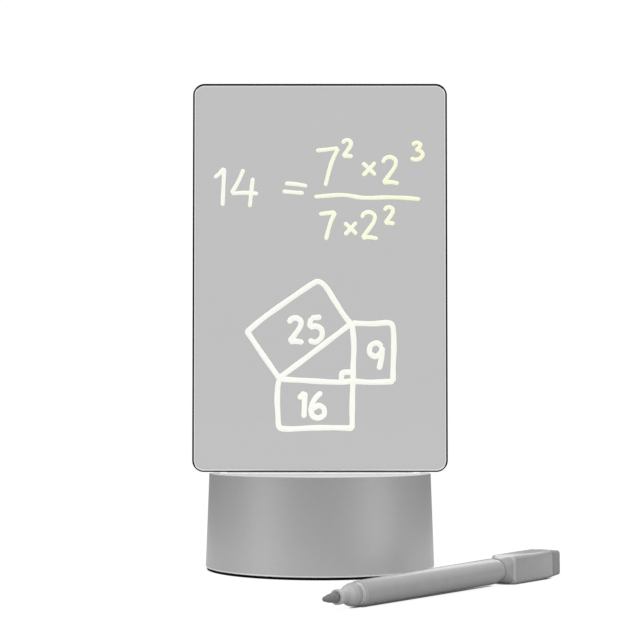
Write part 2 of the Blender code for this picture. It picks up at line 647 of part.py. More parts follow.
def led_tray():
    """Channel along the slot, with an ear at each screw."""
    section = [(-TRAY_OUTER_Y, TRAY_FOOT_Z), (TRAY_OUTER_Y, TRAY_FOOT_Z), (TRAY_OUTER_Y, TRAY_TOP_Z),
               (TRAY_INNER_Y, TRAY_TOP_Z), (TRAY_INNER_Y, TRAY_FLOOR_Z), (-TRAY_INNER_Y, TRAY_FLOOR_Z),
               (-TRAY_INNER_Y, TRAY_TOP_Z), (-TRAY_OUTER_Y, TRAY_TOP_Z)]
    sideways = Matrix(((0, 0, 1, 0), (1, 0, 0, 0), (0, 1, 0, 0), (0, 0, 0, 1)))
    tray = piece("led_tray", prism(section, -TRAY_LENGTH / 2, TRAY_LENGTH / 2, sideways),
                 paint("tray_plastic", (0.8, 0.8, 0.8), 0.5))
    ears = []
    for side in (-1, 1):
        near = side * (TRAY_OUTER_Y - TRAY_WALL / 2)
        far = side * (TRAY_OUTER_Y + EAR_REACH)
        ears.append(box((side * EAR_PLACE - EAR_WIDTH / 2, min(near, far), TRAY_TOP_Z - EAR_THICKNESS),
                        (side * EAR_PLACE + EAR_WIDTH / 2, max(near, far), TRAY_TOP_Z)))
    shaped(tray, 'UNION', ears)
    hole = TRAY_SCREW_SHANK_RADIUS + FIT
    shaped(tray, 'DIFFERENCE', [rod(hole, TRAY_TOP_Z - EAR_THICKNESS - OVERRUN, TRAY_TOP_Z + OVERRUN,
                                    frame=frame) for frame in tray_screw_places()])


def tray_screws():
    head_high = TRAY_TOP_Z - EAR_THICKNESS - FIT
    zinc = paint("zinc_tray_screw", (0.6, 0.6, 0.6), 0.3, 1.0)
    for number, frame in enumerate(tray_screw_places(), 1):
        shape = screw(TRAY_SCREW_HEAD_RADIUS, head_high - TRAY_SCREW_HEAD_HEIGHT, head_high,
                      TRAY_SCREW_SHANK_RADIUS, TRAY_TOP_Z + TRAY_SCREW_REACH, frame)
        piece(f"tray_screw_{number}", shape, zinc)


def led_strip():
    """Strip board in the tray with its row of lights."""
    half_y = TRAY_INNER_Y - FIT
    board = box((-LED_BOARD_LENGTH / 2, -half_y, LED_BOARD_FOOT_Z),
                (LED_BOARD_LENGTH / 2, half_y, LED_BOARD_TOP_Z))
    piece("led_board", board, paint("white_board", (0.85, 0.85, 0.83), 0.5))
    pitch = LED_BOARD_LENGTH / LED_COUNT
    warm = paint("warm_light", (1.0, 0.93, 0.6), 0.3, glow=1.0)
    for index in range(LED_COUNT):
        middle = (index + 0.5) * pitch - LED_BOARD_LENGTH / 2
        chip = box((middle - LED_LENGTH / 2, -LED_WIDTH / 2, LED_FOOT_Z),
                   (middle + LED_LENGTH / 2, LED_WIDTH / 2, LED_TOP_Z))
        piece(f"led_chip_{index + 1}", chip, warm)


def battery():
    """Round cell in its cradle, with a welded strip at each end."""
    half = CELL_LENGTH / 2
    groove = half - CELL_GROOVE_PLACE
    waist = CELL_RADIUS - CELL_GROOVE_DEPTH
    profile = [(0, -half), (CELL_RADIUS - CELL_EDGE, -half), (CELL_RADIUS, CELL_EDGE - half),
               (CELL_RADIUS, groove - CELL_GROOVE_WIDTH), (waist, groove - CELL_GROOVE_WIDTH / 2),
               (CELL_RADIUS, groove), (CELL_RADIUS, half - CELL_EDGE), (CELL_RADIUS - CELL_EDGE, half),
               (0, half)]
    piece("battery_cell", turned(profile, PEN_SIDES, along_x(0, 0, CELL_Z)),
          paint("cell_wrap", (0.05, 0.2, 0.45), 0.4))
    tab = rounded(TAB_HEIGHT, TAB_WIDTH, TAB_THICKNESS)
    near = half + FIT
    nickel = paint("nickel_strip", (0.7, 0.68, 0.62), 0.3, 1.0)
    axis = along_x(0, 0, CELL_Z)
    piece("battery_tab_positive", prism(tab, near, near + TAB_THICKNESS, axis), nickel)
    piece("battery_tab_negative", prism(tab, -near - TAB_THICKNESS, -near, axis), nickel)


def control_board():
    """Upright board with its headers, coil, chips and capacitors on the inner face."""
    board = box((-BOARD_WIDTH / 2, BOARD_BACK_Y, BOARD_FOOT_Z),
                (BOARD_WIDTH / 2, BOARD_FACE_Y, BOARD_TOP_Z))
    piece("control_board", board, paint("green_board", (0.02, 0.16, 0.06), 0.45))
    seat = BOARD_BACK_Y - FIT

    def block(x, z, width, height, depth):
        return box((x - width / 2, seat - depth, z - height / 2), (x + width / 2, seat, z + height / 2))

    cream = paint("header_plastic", (0.82, 0.8, 0.74), 0.5)
    black = paint("chip_black", (0.03, 0.03, 0.03), 0.4)
    header = (HEADER_WIDTH, HEADER_HEIGHT, HEADER_DEPTH)
    chip = (CHIP_WIDTH, CHIP_HEIGHT, CHIP_DEPTH)
    piece("battery_connector", block(-HEADER_PLACE, CELL_HEADER_Z, *header), cream)
    piece("led_connector", block(HEADER_PLACE, LIGHT_HEADER_Z, *header), cream)
    piece("charger_chip", block(HEADER_PLACE, CELL_HEADER_Z, *chip), black)
    piece("driver_chip", block(-HEADER_PLACE, LIGHT_HEADER_Z, *chip), black)
    coil = rod(COIL_RADIUS, -COIL_HEIGHT, 0, frame=along_y(seat, CELL_HEADER_Z))
    piece("boost_coil", coil, paint("ferrite", (0.09, 0.09, 0.1), 0.6))
    tan = paint("capacitor_tan", (0.4, 0.28, 0.16), 0.5)
    for number, (step, row) in enumerate([(-1, -1), (1, -1), (-1, 1), (1, 1)], 1):
        x = step * HEADER_PLACE / 4
        z = LIGHT_HEADER_Z + row * CAPACITOR_HEIGHT * 2
        capacitor = block(x, z, CAPACITOR_WIDTH, CAPACITOR_HEIGHT, CAPACITOR_DEPTH)
        piece(f"capacitor_{number}", capacitor, tan)
    face = BOARD_FACE_Y + FIT
    half = LIGHT_CHIP_WIDTH / 2
    lamp = box((-half, face, LIGHT_Z - half), (half, face + LIGHT_CHIP_HEIGHT, LIGHT_Z + half))
    piece("indicator_lamp", lamp, paint("lamp_white", (0.85, 0.85, 0.8), 0.4))


def charging_inlet():
    """Metal shroud that opens to the back, with the contact tongue inside."""
    rear = BOARD_FACE_Y + FIT
    mouth = shell_radius(USB_Z) - USB_RECESS
    length = mouth - rear
    shroud = piece("usb_socket", prism(rounded(USB_WIDTH, USB_HEIGHT, USB_CORNER), 0, length,
                                       along_y(rear, USB_Z)),
                   paint("socket_steel", (0.62, 0.62, 0.64), 0.25, 1.0))
    inner_width = USB_WIDTH - USB_WALL * 2
    inner_height = USB_HEIGHT - USB_WALL * 2
    inner_corner = USB_CORNER - USB_WALL
    cavity = rounded(inner_width, inner_height, inner_corner)
    shaped(shroud, 'DIFFERENCE', [prism(cavity, USB_BACK, length + OVERRUN, along_y(rear, USB_Z))])
    block = rounded(inner_width - FIT * 2, inner_height - FIT * 2, inner_corner - FIT)
    start = USB_BACK + FIT
    block_end = start + USB_BLOCK_LENGTH
    tongue = piece("usb_tongue", prism(block, start, block_end, along_y(rear, USB_Z)),
                   paint("contact_plastic", (0.03, 0.03, 0.03), 0.4))
    blade = rectangle(inner_width - USB_TONGUE_SIDE_GAP * 2, USB_TONGUE_HEIGHT)
    shaped(tongue, 'UNION', [prism(blade, (start + block_end) / 2, length - USB_TONGUE_INSET,
                                   along_y(rear, USB_Z))])


def charge_indicator():
    """Light pipe from the small lamp on the board through the wall, kept by its collar."""
    rear = BOARD_FACE_Y + FIT + LIGHT_CHIP_HEIGHT + FIT
    front = shell_radius(LIGHT_Z) + LIGHT_PROUD
    collar_front = wall_inside(LIGHT_Z, LIGHT_COLLAR_RADIUS) - FIT
    collar_rear = collar_front - LIGHT_COLLAR_LENGTH
    profile = [(0, rear), (LIGHT_RADIUS, rear), (LIGHT_RADIUS, collar_rear),
               (LIGHT_COLLAR_RADIUS, collar_rear), (LIGHT_COLLAR_RADIUS, collar_front),
               (LIGHT_RADIUS, collar_front), (LIGHT_RADIUS, front), (0, front)]
    piece("charge_indicator", turned(profile, SMALL_SIDES, along_y(0, LIGHT_Z)),
          paint("light_pipe", (0.9, 0.9, 0.9), 0.2))


def power_switch():
    """Push switch on the board, its plunger and the button in the back wall."""
    rear = BOARD_FACE_Y + FIT
    half = SWITCH_WIDTH / 2
    body = piece("switch_body", box((-half, rear, BUTTON_Z - half), (half, SWITCH_FACE_Y, BUTTON_Z + half)),
                 paint("switch_plastic", (0.04, 0.04, 0.04), 0.4))
    pit_floor = SWITCH_FACE_Y - SWITCH_PIT_DEPTH
    shaped(body, 'DIFFERENCE', [rod(PLUNGER_RADIUS + FIT, pit_floor, SWITCH_FACE_Y + OVERRUN,
                                    PLUNGER_SIDES, along_y(0, BUTTON_Z))])

    flange_radius = BUTTON_RADIUS + BUTTON_FLANGE
    slide = pivot("button_slide", along_y(BUTTON_FLANGE_REAR, BUTTON_Z))
    plunger_low = pit_floor + BUTTON_TRAVEL + FIT - BUTTON_FLANGE_REAR
    piece("switch_plunger", rod(PLUNGER_RADIUS, plunger_low, -FIT, PLUNGER_SIDES),
          paint("plunger_plastic", (0.5, 0.08, 0.05), 0.4), slide)
    face = shell_radius(BUTTON_Z) + BUTTON_PROUD - BUTTON_FLANGE_REAR
    profile = [(0, 0), (flange_radius, 0), (flange_radius, BUTTON_FLANGE_THICKNESS),
               (BUTTON_RADIUS, BUTTON_FLANGE_THICKNESS), (BUTTON_RADIUS, face - BUTTON_EDGE),
               (BUTTON_RADIUS - BUTTON_EDGE, face), (0, face)]
    piece("power_button", turned(profile, PEN_SIDES), paint("button_grey", (0.3, 0.3, 0.3), 0.45), slide)


def lead(name, points, color):
    """A thin insulated lead on a smooth curve through the points of its route."""
    route = [Vector(point) for point in points]
    ends = [route[0] * 2 - route[1]] + route + [route[-1] * 2 - route[-2]]
    smooth = []
    for before, start, end, after in zip(ends, ends[1:], ends[2:], ends[3:]):
        for step in range(LEAD_STEPS):
            share = step / LEAD_STEPS
            smooth.append(0.5 * (start * 2 + (end - before) * share
                                 + (before * 2 - start * 5 + end * 4 - after) * share ** 2
                                 + (start * 3 - before - end * 3 + after) * share ** 3))
    smooth.append(route[-1])
    curve = bpy.data.curves.new(name, 'CURVE')
    curve.dimensions = '3D'
    curve.bevel_depth = LEAD_RADIUS
    curve.bevel_resolution = LEAD_RESOLUTION
    curve.use_fill_caps = True
    spline = curve.splines.new('POLY')
    spline.points.add(len(smooth) - 1)
    for point, place in zip(spline.points, smooth):
        point.co = (*place, 1.0)
    curve.materials.append(paint(name + "_skin", color, 0.5))
    bpy.context.scene.collection.objects.link(bpy.data.objects.new(name, curve))


def leads():
    """Two leads from the cell and two from the light strip, each pair to its own header."""
    entry = BOARD_BACK_Y - FIT - HEADER_DEPTH - FIT
    red = (0.5, 0.02, 0.02)
    black = (0.02, 0.02, 0.02)

    def routed(start, shares, reach, height, header_x, side, header_z):
        """A start, middle points as shares of a reach, the headers' depth and a height, and a plug."""
        middle = [(x * reach, y * entry, z * height) for x, y, z in shares]
        plug_x = header_x + side * LEAD_PITCH / 2
        return [start, *middle, (plug_x, entry - LEAD_STRAIGHT, header_z), (plug_x, entry, header_z)]

    tab = CELL_LENGTH / 2 + FIT + TAB_THICKNESS + FIT
    lead("battery_lead_positive",
         routed((tab, 0, CELL_Z), CELL_POSITIVE_SHARES, tab, CELL_Z, -HEADER_PLACE, 1, CELL_HEADER_Z), red)
    lead("battery_lead_negative",
         routed((-tab, 0, CELL_Z), CELL_NEGATIVE_SHARES, tab, CELL_Z, -HEADER_PLACE, -1, CELL_HEADER_Z),
         black)
    pad_x = LED_BOARD_LENGTH / 2 - LED_PAD_INSET
    pad_y = LED_WIDTH / 2 + FIT + LEAD_RADIUS
    pad_z = LED_BOARD_TOP_Z + FIT + LEAD_RADIUS
    past = TRAY_LENGTH / 2 + FIT + LEAD_RADIUS
    lead("led_lead_positive",
         routed((pad_x, pad_y, pad_z), LIGHT_POSITIVE_SHARES, past, pad_z, HEADER_PLACE, 1, LIGHT_HEADER_Z),
         red)
    lead("led_lead_negative",
         routed((pad_x, -pad_y, pad_z), LIGHT_NEGATIVE_SHARES, past, pad_z, HEADER_PLACE, -1, LIGHT_HEADER_Z),
         black)


def pen_frame():
    """The pen's axis: it lies on the barrel's front edge and on the cap's flat side."""
    rise = math.asin((CAP_HALF_WIDTH - BARREL_FRONT_RADIUS) / (CAP_SQUARE_START - BARREL_START))
    tip_z = BARREL_FRONT_RADIUS / math.cos(rise) - BARREL_START * math.sin(rise)
    along = Vector((math.cos(PEN_HEADING) * math.cos(rise), math.sin(PEN_HEADING) * math.cos(rise),
                    math.sin(rise)))
    across = Vector((math.sin(PEN_HEADING), -math.cos(PEN_HEADING), 0))
    down = along.cross(across)
    frame = Matrix((across, down, along)).transposed().to_4x4()
    frame.translation = (PEN_TIP_X, PEN_TIP_Y, tip_z)
    return frame


def pen(axis):
    """Nib, section, barrel, ink rod and tail plug, all round the same axis."""
    plug_end = BARREL_START + SECTION_PLUG_LENGTH
    nib = [(0, 0)]
    nib += [(NIB_POINT_RADIUS * radius_share, NIB_POINT_RADIUS * height_share)
            for radius_share, height_share in NIB_POINT_SHARES]
    nib += [(NIB_RADIUS, NIB_LENGTH - NIB_POINT_RADIUS / 2), (NIB_RADIUS, NIB_LENGTH),
            (NIB_SHANK_RADIUS, NIB_LENGTH), (NIB_SHANK_RADIUS, plug_end), (0, plug_end)]
    piece("pen_nib", turned(nib, PEN_SIDES), paint("nib_felt", (0.16, 0.16, 0.16), 0.7), axis)

    bore = NIB_SHANK_RADIUS + FIT
    collar_end = SECTION_START + COLLAR_LENGTH
    flare_end = collar_end + SECTION_FLARE_LENGTH
    shoulder = SECTION_START + SECTION_LENGTH
    plug_radius = BARREL_BORE_RADIUS - FIT
    radius_share, height_share = SECTION_FLARE_SHARES
    section = [(bore, SECTION_START), (COLLAR_RADIUS - COLLAR_CHAMFER, SECTION_START),
               (COLLAR_RADIUS, SECTION_START + COLLAR_CHAMFER), (COLLAR_RADIUS, collar_end),
               (COLLAR_RADIUS + (SECTION_RADIUS - COLLAR_RADIUS) * radius_share,
                collar_end + SECTION_FLARE_LENGTH * height_share),
               (SECTION_RADIUS, flare_end), (SECTION_RADIUS, shoulder), (plug_radius, shoulder),
               (plug_radius, plug_end), (bore, plug_end)]
    piece("pen_section", turned(section, PEN_SIDES),
          paint("section_plastic", (0.45, 0.45, 0.45), 0.4), axis)

    barrel = [(BARREL_BORE_RADIUS, BARREL_START), (BARREL_FRONT_RADIUS - BARREL_CHAMFER, BARREL_START),
              (BARREL_FRONT_RADIUS, BARREL_START + BARREL_CHAMFER),
              (BARREL_REAR_RADIUS, BARREL_END - BARREL_CHAMFER),
              (BARREL_REAR_RADIUS - BARREL_CHAMFER, BARREL_END), (BARREL_BORE_RADIUS, BARREL_END)]
    piece("pen_barrel", turned(barrel, PEN_SIDES), paint("barrel_grey", (0.34, 0.34, 0.34), 0.4), axis)

    tail_root = BARREL_END - TAIL_PLUG_LENGTH
    ink = [(0, plug_end + FIT), (plug_radius, plug_end + FIT), (plug_radius, tail_root - FIT),
           (0, tail_root - FIT)]
    piece("ink_reservoir", turned(ink, PEN_SIDES), paint("ink_fibre", (0.8, 0.8, 0.7), 0.9), axis)

    post_end = CAP_START + TAIL_POST_LENGTH
    post_tip = TAIL_POST_RADIUS - BARREL_CHAMFER
    tail = [(0, tail_root), (plug_radius, tail_root), (plug_radius, TAIL_START),
            (BARREL_REAR_RADIUS - BARREL_CHAMFER, TAIL_START), (TAIL_NECK_RADIUS, TAIL_NECK_END),
            (TAIL_POST_RADIUS, TAIL_NECK_END), (TAIL_POST_RADIUS, post_end - BARREL_CHAMFER),
            (post_tip, post_end), (0, post_end)]
    piece("pen_tail_plug", turned(tail, PEN_SIDES), paint("tail_grey", (0.36, 0.36, 0.36), 0.4), axis)


def cap(axis):
    """Cap that goes from a round mouth to a square body, with the felt end let into it."""
    slide = pivot("cap_slide", Matrix.Translation((0, 0, CAP_START)), axis)
    square = CAP_SQUARE_START - CAP_START
    length = CAP_END - CAP_START
    mouth = CAP_MOUTH_RADIUS
    stations = [(0, mouth - CAP_MOUTH_CHAMFER, mouth - CAP_MOUTH_CHAMFER),
                (CAP_MOUTH_CHAMFER, mouth, mouth)]
    stations += [(square * height_share, mouth + (CAP_HALF_WIDTH - mouth) * form_share,
                  mouth + (CAP_CORNER - mouth) * form_share)
                 for height_share, form_share in CAP_SHOULDER_SHARES]
    stations += [(square, CAP_HALF_WIDTH, CAP_CORNER), (length, CAP_HALF_WIDTH, CAP_CORNER)]
    body = piece("pen_cap", lofted(stations), paint("cap_grey", (0.32, 0.32, 0.32), 0.4), slide)
    bore = TAIL_POST_RADIUS + FIT
    shaped(body, 'DIFFERENCE', [rod(bore, -OVERRUN, CAP_BORE_DEPTH, PEN_SIDES)])
    pocket = rounded((ERASER_ROOT_HALF_WIDTH + FIT) * 2, (ERASER_ROOT_HALF_WIDTH + FIT) * 2, ERASER_CORNER)
    shaped(body, 'DIFFERENCE', [prism(pocket, length - ERASER_ROOT_LENGTH, length + OVERRUN)])

    start = ERASER_START - CAP_START
    root = start - ERASER_ROOT_LENGTH
    end = start + ERASER_LENGTH
    felt = [(root, ERASER_ROOT_HALF_WIDTH, ERASER_CORNER), (start, ERASER_ROOT_HALF_WIDTH, ERASER_CORNER),
            (start, ERASER_FRONT_HALF_WIDTH, CAP_CORNER), (end, ERASER_END_HALF_WIDTH, ERASER_CORNER)]
    piece("cap_eraser", lofted(felt), paint("eraser_felt", (0.27, 0.27, 0.27), 0.9), slide)


def main():
    for item in list(bpy.data.objects):
        bpy.data.objects.remove(item, do_unlink=True)
    foot_pad()
    base_shell()
    bottom_cover()
    cover_screws()
    slot_frame()
    acrylic_panel()
    led_tray()
    tray_screws()
    led_strip()
    battery()
    control_board()
    charging_inlet()
    charge_indicator()
    power_switch()
    leads()
    axis = pivot("pen_axis", pen_frame())
    pen(axis)
    cap(axis)


main()
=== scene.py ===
"""Looks of the acrylic memo board: fine surfaces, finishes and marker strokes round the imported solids.

Metres, +Z up. The front faces -Y, and the origin is the centre of the foot pad's underside.
"""
import math

import bmesh
import bpy
from mathutils import Matrix, Vector


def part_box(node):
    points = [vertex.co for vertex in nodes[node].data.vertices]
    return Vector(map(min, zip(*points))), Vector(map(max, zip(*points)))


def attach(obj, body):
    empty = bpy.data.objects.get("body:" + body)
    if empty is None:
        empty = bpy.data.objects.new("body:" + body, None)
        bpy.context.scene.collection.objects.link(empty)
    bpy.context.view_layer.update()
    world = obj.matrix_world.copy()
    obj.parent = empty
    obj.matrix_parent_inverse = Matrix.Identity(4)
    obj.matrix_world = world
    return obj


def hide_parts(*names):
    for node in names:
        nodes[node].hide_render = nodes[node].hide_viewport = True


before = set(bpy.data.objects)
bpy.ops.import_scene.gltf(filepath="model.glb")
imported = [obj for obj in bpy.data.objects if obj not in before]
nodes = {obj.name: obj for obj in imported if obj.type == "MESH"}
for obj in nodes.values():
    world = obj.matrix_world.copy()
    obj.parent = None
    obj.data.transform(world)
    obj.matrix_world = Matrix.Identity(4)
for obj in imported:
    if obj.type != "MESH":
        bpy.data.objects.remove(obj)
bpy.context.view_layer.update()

MM = 0.001
WELD = 0.000001
FIT = 0.3 * MM
SHARP_ANGLE = math.radians(35)

# Camera: picture and focal length in pixels, sensor in millimetres
PICTURE = 640
FOCAL_PIXELS = 1426.5
AXIS_PIXEL_Y = 377.6
SENSOR_WIDTH = 36
CAMERA_PLACE = (0, -0.6162, 0.0637)
CAMERA_TILT = math.radians(1.693)

# Studio: light levels from the front (-Y) round to the back, from above, and in a patch high at the back
HORIZON_LEVELS = ((0.0, 0.2), (0.24, 0.9), (0.5, 0.36), (1.0, 0.18))
TOP_LEVEL = 0.9
TOP_RANGE = (0.08, 0.65)
STUDIO_STRENGTH = 1.6
BACK_LIGHT_DIRECTION = (0.22, 0.87, 0.44)
BACK_LIGHT_EDGE = (0.94, 0.99)
BACK_LIGHT_STRENGTH = 3.7
SEEN_WHITE = 1.03

# Floor: its radius, how the camera sees it, and the greys by which it lights the object near and far off
FLOOR_RADIUS = 40
FLOOR_GLOW = 0.93
FLOOR_SHADE = 0.08
CONTACT_REACH = 0.7 * MM
CONTACT_SHADE = 0.1
CONTACT_RANGE = (0.45, 0.9)
FLOOR_NEAR = 0.6
FLOOR_FAR = 0.3
FLOOR_FADE = (0.2, 0.5)
FLOOR_ROUGHNESS = 0.9

# Steps of round shapes
BASE_STEPS = 192
PEN_STEPS = 96
SQUARE_STEPS = 96
FLOOR_STEPS = 64
HOLE_STEPS = 48
PANEL_CORNER_STEPS = 16
CORNER_STEPS = 10
CAP_SHOULDER_STEPS = 8
FILLET_STEPS = 4
BEAD_STEPS = 3

# Finishes: cloud noise, then sizes, depths and ranges of shade and gloss
CLOUD_DETAIL = 3.0
CLOUD_RANGE = (0.3, 0.7)
FINE_DETAIL = 2.0
TONE_SPREAD = 0.06
TONE_PATCH = 3 * MM
GRAIN = 0.25 * MM
RELIEF = 0.004 * MM
GLOSS_SWING = 0.04
# Painted light on the base wall: its grey is scaled down at the top and up at the foot
WALL_TOP_PAINTED_SHADE = 0.76
WALL_FOOT_PAINTED_LIGHT = 1.06
WALL_MOTTLE = 1.6 * MM
WALL_MOTTLE_SHADE = (0.985, 1.015)
WALL_GRAIN = 0.3 * MM
WALL_GLOSS = (0.34, 0.42)
WALL_METAL = 0.5
WALL_RELIEF = 0.003 * MM
FOAM_SHINE = 0.05
SHEET_ROUGHNESS = 0.06
SHEET_INDEX = 1.49
HAZE_PATCH = 18 * MM
HAZE_DETAIL = 4.0
HAZE_SPREAD = 0.06
INK_STREAK = 0.6 * MM
INK_GLOSS = (0.45, 0.6)
INK_RELIEF = 0.01 * MM
LAMP_SPECKLE = 0.3 * MM
LAMP_SHADE = 0.92
LAMP_ROUGHNESS = 0.35

# Base shell and foot pad
FOOT_Z = 1.1 * MM
TOP_Z = 40.75 * MM
ROOF_Z = 38.35 * MM
EMBED_Z = 39.07 * MM
FOOT_RADIUS = 49.0 * MM
TOP_RADIUS = 47.6 * MM
SHELL_WALL = 2.2 * MM
FOOT_CHAMFER = 0.15 * MM
# FOOT_LINE is the height of the band above the foot chamfer that carries a painted highlight
FOOT_LINE = 0.45 * MM
FOOT_LINE_TOP = FOOT_CHAMFER + FOOT_LINE
WALL_SLOPE = (FOOT_RADIUS - TOP_RADIUS) / (TOP_Z - FOOT_Z)
ROOF_RADIUS = TOP_RADIUS + WALL_SLOPE * (TOP_Z - ROOF_Z)
# Finishes of the shell: the wall, the roof painted lighter for light from above, and the foot edge with a
# painted highlight
WALL, PAINTED_LIGHT_ROOF, FOOT_PAINTED_HIGHLIGHT = range(3)
TOP_FILLET = 0.2 * MM
PAD_EDGE = 0.15 * MM
BOSS_CIRCLE = 41.33 * MM
BOSS_RADIUS = 3.5 * MM
BOSS_BORE = 1.6 * MM
BOSS_FOOT = 5.9 * MM
BOSS_BORE_END = 14.5 * MM
BOSS_TURNS = [Matrix.Rotation((turn + 0.5) * math.pi / 2, 4, 'Z') for turn in range(4)]
BOSS_PLACES = [turn @ Matrix.Translation((BOSS_CIRCLE, 0, 0)) for turn in BOSS_TURNS]
RIB_ROOT = BOSS_CIRCLE + 2.4 * MM
RIB_THICKNESS = 1.6 * MM
RIB_END = 46.94 * MM
TRAY_BOSS_RADIUS = 3.0 * MM
TRAY_BOSS_FOOT = 35.3 * MM
TRAY_BOSS_BORE = 1.3 * MM
TRAY_BORE_END = 37.7 * MM
TRAY_BOSS_PLACES = [Matrix.Translation((x * MM, y * MM, 0)) for x, y in ((-30, -9.8), (30, 9.8))]
RAIL_OVERLAP = 1.5 * MM
RAIL_REACH = 2.0 * MM
RAIL_FOOT = 8.4 * MM
RAIL_THICKNESS = 1.5 * MM
RAIL_SINK = 0.66 * MM
OPENING_START = 43.0 * MM
OPENING_LENGTH = 7.0 * MM
CUT_MARGIN = 1.0 * MM

# Slot frame
SLOT_LENGTH = 83.6 * MM
SLOT_BREADTH = 7.2 * MM
SLOT_CORNER = 1.1 * MM
RECESS_LENGTH = 87.0 * MM
RECESS_BREADTH = 10.6 * MM
RECESS_CORNER = 2.3 * MM
RECESS_Z = 39.85 * MM
FLANGE_FOOT = 40.15 * MM
FLANGE_TOP = 40.95 * MM
FLANGE_CORNER = 2.0 * MM
FLANGE_EDGE = 0.2 * MM
SLEEVE_LENGTH = 83.0 * MM
SLEEVE_BREADTH = 6.6 * MM
SLEEVE_CORNER = 0.8 * MM
SLEEVE_FOOT = 28.95 * MM
PASSAGE_LENGTH = 80.6 * MM
PASSAGE_BREADTH = 4.2 * MM
# Painted glow of the milky slot collar, standing for LED light coming through it
COLLAR_GLOW = 0.3

# Writing panel
PANEL_WIDTH = 110 * MM
PANEL_HEIGHT = 168 * MM
PANEL_THICKNESS = 5 * MM
PANEL_FOOT = 41.25 * MM
PANEL_CORNER = 5.0 * MM
PANEL_CHAMFER = 0.6 * MM
# Widths of the painted lines at the front rim: the painted dark edge, highlight and shade of the polished
# acrylic
SIDE_LINE = 0.18 * MM
TOP_LINE = 0.2 * MM
PAINTED_HIGHLIGHT_LINE = 0.35 * MM
PAINTED_SHADE_LINE = 0.5 * MM
FACE, RIM_PAINTED_HIGHLIGHT, RIM_PAINTED_SHADE, PAINTED_DARK_RIM, REAR_RIM, SIDE, TONGUE = range(7)
# Painted lines inside the front rim, standing for the dark edge, highlight and shade of the polished acrylic,
# from the edge inwards: width, then finish at the top, the sides and the foot
RIM_LINES = (
    (SIDE_LINE, PAINTED_DARK_RIM, PAINTED_DARK_RIM, RIM_PAINTED_HIGHLIGHT),
    (TOP_LINE, PAINTED_DARK_RIM, RIM_PAINTED_HIGHLIGHT, RIM_PAINTED_HIGHLIGHT),
    (PAINTED_HIGHLIGHT_LINE, RIM_PAINTED_HIGHLIGHT, RIM_PAINTED_HIGHLIGHT, RIM_PAINTED_HIGHLIGHT),
    (PAINTED_SHADE_LINE, RIM_PAINTED_SHADE, RIM_PAINTED_SHADE, RIM_PAINTED_SHADE),
)
# Least part of a normal that points along Y on the flats and on the rims, and along Z on level faces
FLAT_FACING = 0.95
RIM_FACING = 0.1
LEVEL_FACING = 0.999
TONGUE_SPLIT = 40.1 * MM
TONGUE_INSET = 0.1 * MM
TONGUE_LENGTH = 14 * MM
TONGUE_CHAMFER = 1.5 * MM

# Back of the base
BUTTON_RADIUS = 4.5 * MM
BUTTON_EDGE = 0.4 * MM
BUTTON_FLANGE = 1.0 * MM
BUTTON_DISH = 0.25 * MM
# Points of the dish and of the lens's dome, as shares of the radius and of the depth
DISH_SHARES = ((0.8, 0.0), (0.65, 0.4), (0.4, 0.8), (0.0, 1.0))
DOME_SHARES = ((1.0, 1.0), (0.7, 0.4), (0.0, 0.0))
LIGHT_RADIUS = 1.0 * MM
LIGHT_COLLAR = 1.8 * MM
LIGHT_COLLAR_FRONT = 45.73 * MM
LIGHT_COLLAR_LENGTH = 1.0 * MM
LIGHT_DOME = 0.12 * MM
USB_CORNER = 1.3 * MM
USB_WALL = 0.3 * MM
USB_BACK = 0.6 * MM
USB_EDGE = 0.1 * MM

# Marker pen, measured along its axis from the tip
PEN_TIP = (1.0 * MM, -142.3 * MM, 4.2816 * MM)
PEN_HEADING = math.radians(49.6)
PEN_RISE = math.radians(0.657)
# Finishes of the pen's faces, apart from the plain 0: a lighter grey for painted highlights on edges and
# rings, and a band
PEN_PAINTED_HIGHLIGHT, BAND = 1, 2
# Radius and distance along the worn tip, in millimetres
NIB_TIP = ((0, 0.02), (0.25, 0.06), (0.42, 0.13), (0.62, 0.29), (0.76, 0.45), (0.88, 0.75), (1.05, 1.6),
           (1.2, 2.35), (1.34, 2.5))
NIB_END = 6.4 * MM
NIB_SHOULDER = 0.5 * MM
NIB_RADIUS = 1.82 * MM
NIB_SHANK = 1.55 * MM
SECTION_START = 6.6 * MM
SECTION_BORE = 1.85 * MM
COLLAR_RADIUS = 2.62 * MM
COLLAR_EDGE = 0.25 * MM
COLLAR_RING = 8.3 * MM
COLLAR_END = 11.1 * MM
NECK_FILLET = 0.4 * MM
FLARE_MIDDLE = 13.08 * MM
FLARE_RADIUS = 3.586 * MM
FLARE_FILLET = 0.5 * MM
FLARE_END = 14.7 * MM
SECTION_RADIUS = 4.0 * MM
SECTION_RING = 16.1 * MM
RING_STEP = 0.1 * MM
PLUG_RADIUS = 3.3 * MM
PLUG_END = 26.3 * MM
BARREL_START = 18.2 * MM
BARREL_END = 100.0 * MM
BARREL_FRONT = 4.49 * MM
BARREL_REAR = 4.95 * MM
BARREL_BORE = 3.6 * MM
BARREL_EDGE = 0.3 * MM
TAIL_ROOT = 93.0 * MM
TAIL_ROOT_EDGE = 0.2 * MM
TAIL_START = 100.05 * MM
TAIL_NECK_END = 103.4 * MM
TAIL_NECK = 4.35 * MM
TAIL_POST = 3.95 * MM
TAIL_POST_END = 112.3 * MM
TAIL_POST_EDGE = 0.25 * MM
CAP_START = 103.5 * MM
CAP_MOUTH = 4.7 * MM
CAP_LIP = 1.2 * MM
CAP_SHOULDER_BEND = 1.4
CAP_SQUARE = 108.9 * MM
CAP_END = 136.3 * MM
CAP_HALF = 5.44 * MM
CAP_CORNER = 1.4 * MM
CAP_EDGE = 0.25 * MM
CAP_RIM_SHARE = 0.3
CAP_BORE = 4.25 * MM
CAP_BORE_END = 131.0 * MM
